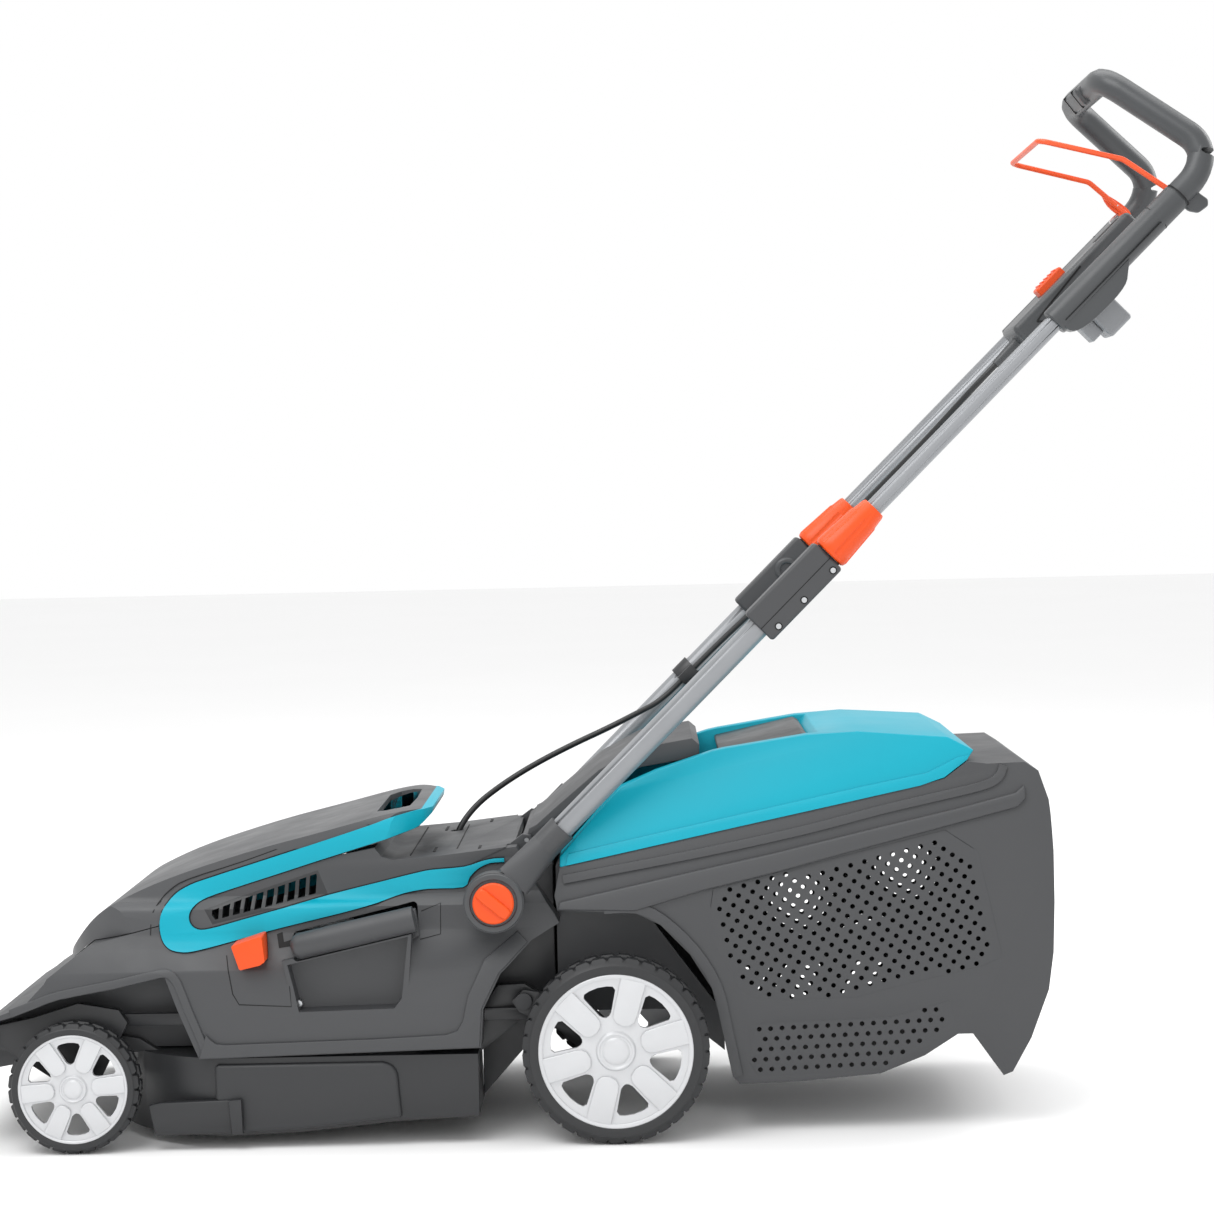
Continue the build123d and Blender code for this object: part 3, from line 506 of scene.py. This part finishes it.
def softbox(name, at, towards, size, power):
    """A rectangular area light at a place, turned towards another, in metres and watts."""
    data = bpy.data.lights.new(name, "AREA")
    data.shape = "RECTANGLE"
    data.size, data.size_y = size
    data.energy = power
    lamp = bpy.data.objects.new(name, data)
    bpy.context.collection.objects.link(lamp)
    lamp.location = at
    lamp.rotation_euler = (Vector(towards) - Vector(at)).to_track_quat("-Z", "Y").to_euler()


aim(x=43.57, y=-2941.2, z=701.5, yaw=-0.898, pitch=-2.697, roll=-1.259, focal=76.9)
softbox("key", (-1.2, -1.4, 3.0), (0.0, 0.0, 0.4), (2.4, 1.6), 52)
softbox("top", (0.4, 0.6, 3.2), (0.1, 0.0, 0.3), (3.0, 2.0), 42)
softbox("front_fill", (0.6, -3.8, 1.4), (0.0, 0.0, 0.4), (3.2, 2.2), 14)
softbox("rear_rim", (2.8, 1.2, 2.0), (0.2, 0.0, 0.6), (1.6, 2.0), 30)
world = bpy.data.worlds.new("studio")
world.use_nodes = True
world.node_tree.nodes["Background"].inputs["Color"].default_value = linear("#FFFFFF")
world.node_tree.nodes["Background"].inputs["Strength"].default_value = 1.0
bpy.context.scene.world = world
bpy.context.scene.view_settings.view_transform = "Standard"

object_mode()
bpy.ops.object.select_all(action="DESELECT")
bpy.ops.mesh.primitive_plane_add(size=30, location=(0, 0, -0.0005))
floor = bpy.context.object
floor.name = "floor"
floor.data.materials.append(grained("studio_floor", "#F4F4F4", "#F7F7F7", 0.9, 3.0, 0.0,
                                    cloud_mm=900))


# ---- wheels ----
WHEEL_FACE = -215.0                  # outer face of the left wheels
SPOKES = 6


def wheel(word, x, z, radius, width, rim_r, first_spoke, lugs):
    """One wheel on the left, copied to the right: tyre with shoulder lugs, painted rim, hub cap."""
    axis = (0, 1, 0)
    centre = place(x, WHEEL_FACE, z)

    def polar(angle, r, depth):
        turn = math.radians(angle)
        return place(x + r * math.cos(turn), WHEEL_FACE + depth, z + r * math.sin(turn))

    tread = radius - 2.2
    side_ring = rim_r + (radius - rim_r) * 0.52
    tyre = turned("tyre", [(rim_r - 0.4, 1.5), (rim_r + 1, 0.6), (side_ring, 0.4),
                           (side_ring + 1.2, 1.6),
                           (tread - 3.4, 2.2), (tread - 0.8, 4.6), (tread, 8), (tread, width - 8),
                           (tread - 0.8, width - 4.6), (tread - 3.4, width - 2.2),
                           (side_ring, width - 0.6),
                           (rim_r - 0.4, width - 1)], centre, axis, 96)
    soften(tyre, 0, smooth=40)
    blocks = []
    step = 360 / lugs
    for row, (low, high) in enumerate(((2.0, width * 0.46), (width * 0.54, width - 2.0))):
        for number in range(lugs):
            start = number * step + row * step / 2
            edge = [polar(start, tread - 4, low), polar(start, radius - 1.4, low + 1.2),
                    polar(start + 1.5, radius, low + 3.6),
                    polar(start + step * 0.74, radius, low + 3.6),
                    polar(start + step * 0.84, radius - 1.4, low + 1.2),
                    polar(start + step * 0.84, tread - 4, low)]
            blocks.append(extruded("lug", edge, (0, (high - low - 3.6) * MM, 0)))
    tyre = join(word + "_tread_tyre", [tyre] + blocks)

    depth = 5.0
    dish = turned("dish", [(7, 4.5), (rim_r * 0.3, 4.5), (rim_r * 0.36, depth),
                           (rim_r * 0.86, depth),
                           (rim_r * 0.95, 3.4), (rim_r * 0.95, 9.5), (7, 9.5)], centre, axis, 96)
    windows = []
    for number in range(SPOKES):
        mid = first_spoke + 360 / SPOKES * (number + 0.5)
        corners = []
        for r, spread in ((0.46, -5), (0.5, -9), (0.79, -15.5), (0.835, -13.2), (0.845, -8),
                          (0.85, 0), (0.845, 8),
                          (0.835, 13.2), (0.79, 15.5), (0.5, 9), (0.46, 5), (0.445, 0)):
            corners.append(polar(mid + spread, rim_r * r, -2))
        windows.append(extruded("window", corners, (0, 20 * MM, 0)))
    cutter = join("windows", windows)
    cut(dish, cutter)
    soften(dish, 1.3, angle=35, segments=3)
    half = rim_r * 0.155
    spokes = []
    for number in range(SPOKES):
        mid = math.radians(first_spoke + 360 / SPOKES * number)
        out = Vector((math.cos(mid), 0, math.sin(mid)))
        aside = Vector((-math.sin(mid), 0, math.cos(mid)))
        outline = [(0.945, -half * 1.06), (0.5, -half), (0.42, -half * 0.93), (0.36, -half * 0.62),
                   (0.335, 0), (0.36, half * 0.62), (0.42, half * 0.93), (0.5, half),
                   (0.945, half * 1.06)]
        points = [centre + (out * (rim_r * along) + aside * across) * MM + Vector((0, 1.6 * MM, 0))
                  for along, across in outline]
        spokes.append(soften(extruded("spoke", points, (0, 4.5 * MM, 0)), 1.3, segments=3))
    rim = turned("rim", [(rim_r * 0.935, 5.5), (rim_r * 0.94, 2.2), (rim_r * 0.955, 1.3),
                         (rim_r * 0.985, 0.9),
                         (rim_r - 0.2, 1.6), (rim_r - 0.3, width - 2), (rim_r - 3, width - 2),
                         (rim_r - 4, 8)], centre, axis, 96)
    soften(rim, 0, smooth=40)
    hub = turned("hub", [(6.6, 2.6), (rim_r * 0.2, 2.6), (rim_r * 0.215, 1.4), (rim_r * 0.235, 1.4),
                         (rim_r * 0.26, 4.6), (rim_r * 0.3, 6), (rim_r * 0.28, width - 3),
                         (6.6, width - 3)],
                 centre, axis, 64)
    soften(hub, 0.4, smooth=40)
    rim = join(word + "_painted_rim", [rim, dish, hub] + spokes)
    cap = turned(word + "_domed_cap", [(0.01, 0.2), (rim_r * 0.08, 0.45), (rim_r * 0.14, 1.1),
                                       (rim_r * 0.175, 2.3), (rim_r * 0.185, 3.4), (0.01, 3.4)],
                 centre, axis, 48)
    soften(cap, 0, smooth=50)
    for piece, finish, slot, node in ((tyre, TYRE_TPE, "tyre_black", "tyre"),
                                      (rim, WHEEL_PAINT, "silver_plastic", "rim"),
                                      (cap, WHEEL_PAINT, "silver_plastic", "hub_cap")):
        twin = mirrored(piece, "right_" + piece.name)
        piece.name = "left_" + piece.name
        dress(piece, f"left_{word}_wheel", finish, slot, f"left_{word}_{node}")
        dress(twin, f"right_{word}_wheel", finish, slot, f"right_{word}_{node}")


wheel("rear", x=0, z=100, radius=100, width=38, rim_r=83, first_spoke=15, lugs=34)
wheel("front", x=-580, z=70, radius=70, width=30, rim_r=59, first_spoke=5, lugs=26)


# ---- motor lead ----
LEAD_R = 3.5
# The bow hangs free between the body and the clip; its points are x, y and z. The run follows
# the handle; its points are station, y and lift.
LEAD_BOW = [(-190, 60, 282), (-184, 64, 303), (-163, 82, 330), (-133, 102, 351), (-95, 113, 373),
            (-50, 116, 395),
            (-6, 119, 414), (30, 126, 431), (59.2, 138, 444.3), (80.55, 138, 465.4)]
LEAD_RUN = [(292, 138, 0), (350, 138, 0), (430, 132, -4), (500, 118, -6), (560, 100, -6),
            (620, 78, -5),
            (690, 50, -3), (735, 26, 0), (775, 0, 3), (820, 0, 3)]

bow = wire("motor_lead_bow", [place(*point) for point in LEAD_BOW], LEAD_R, resolution=16)
bow.data.materials.append(LEAD_RUBBER)
bow = as_mesh(bow)
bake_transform(bow)
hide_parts("lead_bow")
run = wire("motor_lead_run", [on_handle(*point) for point in LEAD_RUN], LEAD_R, resolution=16)
run.data.materials.append(LEAD_RUBBER)
run = as_mesh(run)
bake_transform(run)
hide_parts("lead_run")


# ---- both sides at once ----
def pair(piece, bodies, finish, slot, nodes=()):
    """Dress a left piece and its mirror image. Bodies and nodes may hold {} for the side."""
    name = piece.name
    twin = mirrored(piece, "right_" + name)
    piece.name = "left_" + name
    for word, half in (("left", piece), ("right", twin)):
        dress(half, bodies.format(word), finish, slot, *[node.format(word) for node in nodes])
    return piece, twin


# ---- wheels' carriers and plain fittings ----
for name, width in (("front_swing_arms", 1.2), ("rear_swing_arms", 1.2), ("left_tie_rod", 1.0),
                    ("right_tie_rod", 1.0), ("cable_clip", 0.8), ("bail", 0),
                    ("motor_housing", 2.0),
                    ("blade", 0.4), ("blade_carrier", 0.8), ("power_inlet", 1.5),
                    ("discharge_chute", 1.0)):
    refine(name, width)

# ---- body ----
TRIM_OUTER = [(-199, 350), (-214, 350), (-240, 345), (-264, 337), (-319, 320), (-359, 308),
              (-399, 296),
              (-439, 284), (-460, 277), (-477, 267), (-488, 252), (-491, 237), (-488, 222),
              (-480, 213),
              (-468, 209.5), (-452, 210), (-415, 218), (-375, 228), (-333, 237.5), (-290, 247),
              (-254, 256),
              (-227, 264), (-201, 268), (-163, 269), (-156, 279), (-147, 288), (-134, 294),
              (-118, 295)]
TRIM_INNER = [(-118, 299), (-130, 298.5), (-143, 296), (-162, 290.5), (-196, 288), (-214, 285),
              (-254, 276),
              (-307, 264), (-359, 251.5), (-404, 240), (-436, 232), (-450, 231.5), (-458, 238),
              (-459, 248),
              (-453, 257), (-440, 264), (-408, 274), (-361, 288), (-318, 301), (-265, 316.5),
              (-228, 327.5),
              (-213, 332), (-200, 343)]
HOOD_TOP = [(-613, 184), (-606, 196), (-598, 207), (-569, 240), (-540, 260), (-484, 284),
            (-400, 310), (-316, 331),
            (-260, 345), (-232, 350), (-212, 350.5), (-201, 348)]
HOOD_FOOT = [(-199, 344), (-213, 331), (-262, 316), (-300, 318), (-484, 261), (-484, 238),
             (-567, 218)]
HOOD_PLAN = [(-616, 0), (-611, 56), (-594, 106), (-562, 143), (-520, 165), (-440, 176), (-270, 176),
             (-246, 138),
             (-226, 124), (-209, 104), (-200, 78), (-197.5, 0)]


def body_form(name, outline, plan, grow=0.0):
    """A solid across the machine: a side view, rounded by the body's section and by a plan."""
    half = flowing([(half + grow, height + (grow if height > 340 else 0)) for height,
                    half in BODY_SECTION], 4)
    middle = Vector((-400, 0))
    edge = [middle + (Vector(p) - middle) * (1 + grow / 200) for p in flowing(plan, 4)]
    edge = edge + [Vector((p.x, -p.y)) for p in reversed(edge[1:-1])]
    piece = side_plate(name, outline, -BLANK_HALF, BLANK_HALF)
    section = [place(FORM_START, -y, z) for y, z in half] + [place(FORM_START, y, z) for y,
                                                             z in reversed(half)]
    cut(piece, extruded("section", section, (FORM_LENGTH, 0, 0)), operation="INTERSECT")
    return cut(piece, extruded("plan", [place(p.x, p.y, 0) for p in edge], (0, 0, PLAN_HEIGHT)),
               operation="INTERSECT")


def deck_top(x):
    """Height of the deck cover's top, which slopes in two stretches."""
    return 299 + (x + 240) * 0.0735 if x < -186 else 303 + (x + 186) * 0.11


def carry_slot():
    """What the hand reaches through, behind the carry handle at the back of the hood."""
    outline = [place(x, y, 300) for x,
               y in ((-262, -76), (-250, -89), (-236, -89), (-225, -78), (-223, 0), (-225, 78),
                                             (-236, 89), (-250, 89), (-262, 76))]
    return extruded("slot", outline, (0, 0, 0.1))


# The side band is one piece round the machine. Its hollow middle, the slot behind the hood and
# what lies past its rounded rear corners are cut away.
trim_outer, trim_inner = flowing(TRIM_OUTER, 3), flowing(TRIM_INNER, 3)
trim = body_form("side_band", trim_outer + trim_inner,
                 [(-700, 0), (-700, 210), (-100, 210), (-100, 0)], 2.2)
corner = [place(x, y, 303) for x,
          y in ((-272, 220), (-272, 181), (-246, 142), (-225, 128), (-207, 107.5),
                                        (-197.5, 80), (-195, 0), (-90, 0), (-90, 220))]
corner = extruded("corner", corner, (0, 0, 0.1))
cut(trim, box("middle", place(-310, 0, 252), (420, 272, 104)), carry_slot(),
    mirrored(corner, "far_corner"), corner)
soften(trim, 1.5, angle=35, segments=3)
dress(trim, "deck", TURQUOISE_ABS, "turquoise_plastic", "left_side_trim", "right_side_trim")
hood = cut(body_form("hood_moulded", flowing(HOOD_TOP, 4) + HOOD_FOOT, HOOD_PLAN), carry_slot())
soften(hood, 3.5, angle=24, segments=4, smooth=40)
dress(hood, "deck", HOOD_PP, SLOT_OF["hood"], "hood")
SEAMS = [strip([p for p in trim_outer if p.x < -262 or p.y < 300], 2.6),
         strip([p for p in trim_inner if p.x < -262 or p.y < 300], 2.6),
         strip(flowing([(-501, 226), (-500, 245), (-494, 259), (-482, 272), (-462, 283),
                        (-402, 301),
                        (-343, 321), (-310, 331)], 3), 1.1),
         strip([(-209, 217), (-187, 222), (-187, 254), (-208, 246)], 1.0)]
seams = [skin("seam", outline, BODY_SECTION, 0.25, 2) for outline in SEAMS]
pair(join("body_seam_lines", seams), "deck", SEAM_SHADE, "charcoal_body")
panel_line = [skin("panel_line",
                   strip([(-417, 205), (-409, 166), (-402, 155), (-346, 152), (-350, 191)], 1.1),
                   BODY_SECTION, 0.25, 2),
              skin("panel_notch",
                   [(-364, 225), (-358, 227), (-356, 217), (-348, 219), (-348, 213), (-361, 211)],
                   BODY_SECTION, 0.3, 2)]
dress(join("release_panel_lines", panel_line), "deck", SEAM_SHADE, "charcoal_body")

BAND = [(-446, 98.2), (-145.5, 105), (-142.8, 146), (-123.8, 183), (-93, 213), (-104, 224),
        (-139, 197), (-157, 160),
        (-163, 133), (-169, 123), (-181, 119), (-254, 116), (-418, 112.5), (-427, 113.5),
        (-433, 118), (-438, 124)]
LIP = [(-648, 150), (-620, 160), (-596, 168), (-538, 178), (-496, 187), (-481, 189), (-472, 183),
       (-464, 168),
       (-438, 104)]
flank = [soften(skin("flank_band", BAND, BODY_SECTION, 2.6, 4), 2.0, segments=3),
         soften(skin("arch_lip", strip(flowing(LIP, 2), 9), BODY_SECTION, 2.2, 4), 1.8, segments=3),
         soften(skin("grip_collar", [(-224, 246), (-214, 250), (-209, 221), (-219, 217)],
                     BODY_SECTION, 4.5, 4), 2.0,
                segments=3)]
pair(join("flank_bands", flank), "deck", BODY_PP, "charcoal_body")
refine("body_shell", 2.0, segments=3, smooth=40)
refine("rear_deck_cover", 2.5, segments=3, smooth=40)
refine("vent_grilles", 0.6)
grip = turned("round_grip", [(0.01, 0), (7, 0.8), (11.5, 4), (14, 9), (14.3, 60), (14, 136),
                             (0.01, 136)],
              place(-346, -188, 213), (0.977, 0, 0.213), 40)
soften(grip, 0, smooth=50)
dress(join("round_grips", [grip, mirrored(grip, "far_grip")]), "deck", BODY_PP,
      SLOT_OF["side_grips"], "side_grips")
refine("deck_housing", 4.0, segments=3, smooth=50)
refine("height_button", 3.0, segments=3)
refine("grass_combs", 2.0)
fold = soften(side_plate("comb_fold", [(-415, 54), (-401, 55), (-400, 17), (-412, 17)], -209, -203),
              1.5)
pair(fold, "deck", DECK_PP, "charcoal_body")
bulge = side_plate("deck_bulge",
                   [(-430, 91), (-250, 91), (-240, 88), (-234, 80), (-230, 30), (-337, 19),
                    (-430, 15)],
                   -202, -188)
pair(soften(bulge, 5.5, segments=4, smooth=60), "deck", DECK_PP, "charcoal_body")
for x, y, width, length in ((-222, 0, 1.2, 236), (-197, -88, 3, 34), (-197, 88, 3, 34),
                            (-146, -112, 3, 22),
                            (-146, 112, 3, 22), (-172, 0, 1.2, 200)):
    slot = box("deck_slot", place(x, y, deck_top(x)), (width, length, 1.2))
    dress(slot, "deck", SEAM_SHADE, "charcoal_body")
recess_screw = bar("recess_screw", place(-340, -176, 152), place(-340, -186, 152), 4.2)
dress(soften(recess_screw, 0.6), "deck", ZINC, "zinc_steel")

# ---- fold joints ----
for word, side in SIDES.items():
    refine(word + "_elbow", 2.6, segments=3, smooth=45)
ring = turned("elbow_ring", [(24.5, -0.5), (25.5, 1.8), (30.6, 1.8), (32.2, -0.5)],
              place(FOLD[0], -205, FOLD[1]),
              (0, -1, 0))
pair(soften(ring, 0.6), "lower_handle", SOFT_GREY, "black_plastic")
disc = turned("knob", [(0.01, -0.5), (22, -0.5), (22, 3.4), (20.6, 5), (16, 5.2), (0.01, 5.2)],
              place(FOLD[0], -205.5, FOLD[1]), (0, -1, 0))
turn = math.radians(-40)
outline = []
for along, across in ((-21, -5.5), (-12, -6.5), (12, -6.5), (21, -5.5), (21, 5.5), (12, 6.5),
                      (-12, 6.5), (-21, 5.5)):
    outline.append((FOLD[0] + along * math.cos(turn) - across * math.sin(turn),
                    FOLD[1] + along * math.sin(turn) + across * math.cos(turn)))
ridge = soften(side_plate("ridge", outline, -215.2, -207), 2.6, segments=3)
soften(disc, 0, smooth=40)
shank = bar("shank", place(FOLD[0], -160, FOLD[1]), place(FOLD[0], -206, FOLD[1]), 5)
pair(join("grip_knob", [disc, ridge, shank]), "{}_knob", ORANGE_ABS, "orange_plastic",
     ["{}_hinge_knob"])

# ---- tubes, clamps and nuts ----
CLAMP_FACE = -179.2                  # outer face of the left clamp block
for word, side in SIDES.items():
    refine(word + "_lower_tube", 0)
    refine(word + "_upper_tube", 0)
    refine(word + "_clamp_block", 2.2, segments=3)
face = [handle_plate("clamp_seam", strip([(406.5, -2.5), (512.5, -2.5)], 0.9), CLAMP_FACE, -177)]
screws = []
for s in (422, 461, 505):
    centre = on_handle(s, CLAMP_FACE, -14)
    face.append(turned("well", [(0.01, -1), (4.2, -1), (4.2, 0.2), (0.01, 0.2)], centre, (0, -1, 0),
                       24))
    screws.append(turned("screw", [(0.01, 0), (2.9, 0), (2.9, 0.5), (1.6, 0.7), (0.01, 0.7)],
                         centre, (0, -1, 0), 16))
face.append(handle_plate("collar", strip([(512.6, 0), (514.2, 0)], 29), -176, -148))
pair(join("clamp_shade", face), "lower_handle", SEAM_SHADE, "black_plastic")
pair(join("clamp_screws", screws), "lower_handle", ZINC, "zinc_steel")
eye = turned("clamp_boss", [(7, 0), (8, 2.5), (12, 2.5), (15, 0)], on_handle(476, -145.2, 2),
             (0, 1, 0), 48)
pair(soften(eye, 0.8), "lower_handle", SOFT_GREY, "black_plastic")
nut = turned("turning_nut", [(12.7, 514.6), (17, 514.6), (19, 516), (20.2, 520), (19.8, 526),
                             (16.9, 567), (15.8, 569),
                             (14.2, 581), (13, 583.6), (9.9, 583.6), (9.9, 561), (12.7, 561)],
             on_handle(0, -TUBE_Y, 0), ALONG, 72)
grooves = []
for number in range(6):
    angle = math.radians(60 * number + 10)
    lift, y = math.sin(angle), math.cos(angle)
    grooves.append(bar("groove", on_handle(520, -TUBE_Y + y * 24.5, lift * 24.5),
                       on_handle(574, -TUBE_Y + y * 20.5, lift * 20.5), 5.4, 20))
cut(nut, join("grooves", grooves))
pair(soften(nut, 0.7, angle=35), "{}_nut", ORANGE_ABS, "orange_plastic", ["{}_lock_nut"])

# ---- loop handle and switch ----
PAD_TURN = (0, math.radians(-38), 0)  # slope of the pad on the crossbar
half = [on_handle(1000, -159.5, 0), on_handle(1038, -158, 0), place(642.5, -156, 1021.5),
        place(642.5, -149, 1052),
        place(548, -104, 1128)]
line = half + [Vector((point.x, -point.y, point.z)) for point in reversed(half)]
loop = wire("loop", eased(line, [12, 22, 17, 26, 26, 17, 22, 12]), 14.5, smooth=False)
pieces = [soften(as_mesh(loop), 0, smooth=50)]
for side in SIDES.values():
    pieces.append(soften(bar("sleeve", on_handle(857, side * TUBE_Y, 0),
                             on_handle(1044, side * 159.5, 0), 15.3, 48),
                         2.0, segments=3))
    swell = handle_plate("swell",
                         flowing([(860, -8), (864, -20), (880, -26.5), (915, -28), (938, -25),
                                  (950, -17),
                                           (962, -8)], 3), side * 162 - 12, side * 162 + 12)
    pieces.append(soften(swell, 6, segments=4, smooth=60))
hook = handle_plate("hook_tab",
                    [(1042, -10), (1042, -20), (1048, -29), (1060, -31), (1065, -26), (1063, -14),
                     (1066, -8)],
                    -161, -151)
pieces.append(soften(hook, 2.5, segments=3))
pad = box("crossbar_pad", place(538, 0, 1121), (12, 84, 22), turn=PAD_TURN)
pieces.append(soften(pad, 4, segments=3))
dress(join("loop_handle_moulded", pieces), "upper_handle", SOFT_GREY, SLOT_OF["handle_loop"],
      "handle_loop")
marks = []
for side in SIDES.values():
    for s, radius in ((1012, 15.5), (1046, 15.0)):
        marks.append(turned("ring_seam",
                            [(radius - 1, -0.5), (radius + 0.1, -0.5), (radius + 0.1, 0.5),
                                          (radius - 1, 0.5)], on_handle(s, side * 159.5, 0), ALONG,
                            48))
    marks.append(handle_plate("sleeve_seam", strip([(866, -6), (1010, -6)], 0.7),
                              side * TUBE_Y - 15.1,
                              side * TUBE_Y + 15.1))
for y in (-24, 24):
    marks.append(box("pad_seam", place(537.6, y, 1121), (12.6, 1.0, 22.6), turn=PAD_TURN))
marks.append(handle_plate("box_groove",
                          strip(flowing([(872, 0), (866, 4), (870, 8), (940, 15)]), 2.0), -48.4,
                          48.4))
marks.append(handle_plate("hook_slot", [(974, 14), (974, 21.3), (1010, 21.3), (1010, 14)], -34,
                          -14))
dress(join("handle_seams", marks), "upper_handle", SEAM_SHADE, SLOT_OF["handle_loop"])
refine("switch_box", 3.0, segments=3)
refine("start_button", 2.6, segments=3)
ribs = [soften(handle_plate("rib", strip([(s, 29), (s, 31.4)], 2.4), -12, 12),
               0.8) for s in (899, 905, 911, 917, 923)]
dress(join("button_ribs", ribs), BODY_OF["start_button"], ORANGE_ABS, "orange_plastic")
tab = soften(handle_plate("bail_tab",
                          flowing([(1050, 0), (1056, 8), (1054, 28), (1048, 46), (1042, 30),
                                               (1044, 8)], 3), 124, 128), 0.8)
dress(tab, "bail_bar", WIRE_COAT, "orange_wire")
spring = wire("bail_spring", [on_handle(1049, 118, 24), on_handle(1051, 122, 17),
                              on_handle(1047, 131, 15),
                              on_handle(1036, 110, 17), on_handle(1018, 60, 20),
                              on_handle(1006, 0, 22),
                              on_handle(1000, -24, 16)], 1.1)
spring = as_mesh(spring)
spring.data.materials.append(ZINC)
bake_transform(spring)

# ---- catcher ----
UPPER = [(104, 250), (107, 268), (356, 326), (390, 303), (416, 187), (396, 178), (289, 154),
         (259, 146), (179, 145),
         (150, 147), (135, 156), (122, 180), (110, 204)]
LOWER = [(146, 112), (154, 119), (296, 123), (360, 140), (364, 118), (334, 97), (284, 65),
         (152, 60), (143, 76)]
HOLE_R = 2.7


def perforated(name, outline, across, up, origin):
    """A patch of the catcher's wall with rows of round holes, which start at an origin and go on
    by two steps, across and up."""
    panel = skin(name, outline, CATCHER_SECTION, 0.0, 2.6, rim=True)
    middle = Vector([sum(values) / len(outline) for values in zip(*outline)])
    inner = [tuple(middle + (Vector(point) - middle) * 0.955) for point in outline]
    holes = []
    for i in range(-40, 41):
        for j in range(-30, 31):
            x = origin[0] + across[0] * i + up[0] * j
            z = origin[1] + across[1] * i + up[1] * j
            if inside((x, z), inner):
                holes.append(bar("hole", place(x, -200, z), place(x, -150, z), HOLE_R, 12))
    return cut(panel, join("holes", holes))


def grown(outline, amount):
    """An outline pushed outwards from its middle by about an amount."""
    middle = Vector([sum(values) / len(outline) for values in zip(*outline)])
    return [Vector(point) + (Vector(point) - middle).normalized() * amount for point in outline]


shell = from_cad("catcher_shell", "catcher_shell_moulded")
for outline in (UPPER, LOWER):
    window = grown(outline, -0.5)
    cut(shell, side_plate("window", window, -240, -150), side_plate("window", window, 150, 240))
soften(shell, 3.5, angle=25, segments=3, smooth=45)
dress(shell, "catcher", BODY_PP, SLOT_OF["catcher_shell"], "catcher_shell")
panels = [perforated("upper_panel", UPPER, across=(15, 3.75), up=(-5.7, -10.4), origin=(110, 263)),
          perforated("lower_panel", LOWER, across=(12.3, 0.4), up=(-6, -11.4), origin=(154, 113))]
pair(soften(join("perforated_panels", panels), 0, smooth=30), "catcher", BODY_PP,
     SLOT_OF["catcher_shell"])
LIP_TOP = [(-58, 256), (94, 288), (176, 305), (286, 330), (368, 348), (432, 364), (442, 372)]
LIP_FOOT = [(443, 358), (433, 349), (324, 322), (247, 303), (176, 285), (93, 266), (24, 246),
            (-60, 248)]
LEDGE = [(-54, 279), (94, 305), (204, 327), (287, 347), (342, 359), (397, 371), (415, 380),
         (421, 392)]
STEP = [(92, 195), (105, 172), (117, 146), (128, 131), (143, 126), (283, 132), (338, 143),
        (393, 159), (429, 172),
        (446, 190)]
ARCH = [(-10, 249), (24, 249), (52, 236), (86, 202), (109, 162), (119, 118), (130, 62)]
bands = [soften(skin("lip", LIP_TOP + LIP_FOOT, CATCHER_SECTION, 5.0, 4, rim=True), 2.4,
                segments=4),
         soften(skin("ledge", strip(flowing(LEDGE, 3), 9), CATCHER_SECTION, 3.0, 4, rim=True), 2.6,
                segments=3),
         soften(skin("step", strip(flowing(STEP, 3), 10), CATCHER_SECTION, 3.4, 4, rim=True), 3.0,
                segments=3),
         soften(skin("arch", strip(flowing(ARCH, 3), 11), CATCHER_SECTION, 3.0, 4, rim=True), 2.6,
                segments=3)]
pair(join("catcher_bands", bands), "catcher", BODY_PP, SLOT_OF["catcher_shell"])
refine("catcher_lid", 7.0, angle=20, segments=4, smooth=50)
LID_LIP = [(-50, 293), (8, 305), (138, 332), (267, 358.5), (332, 372), (358, 380.5), (383, 398),
           (386, 403),
           (374, 401), (340, 385), (267, 371), (138, 344), (8, 317), (-48, 305)]
lid_lip = soften(skin("lid_lip", LID_LIP, LID_SECTION, 1.8, 3, rim=True), 1.4, segments=3)
pair(lid_lip, "catcher", TURQUOISE_ABS, "turquoise_plastic")
refine("catcher_grip", 3.0, segments=3)
refine("rear_flap", 3.0, segments=3, smooth=45)
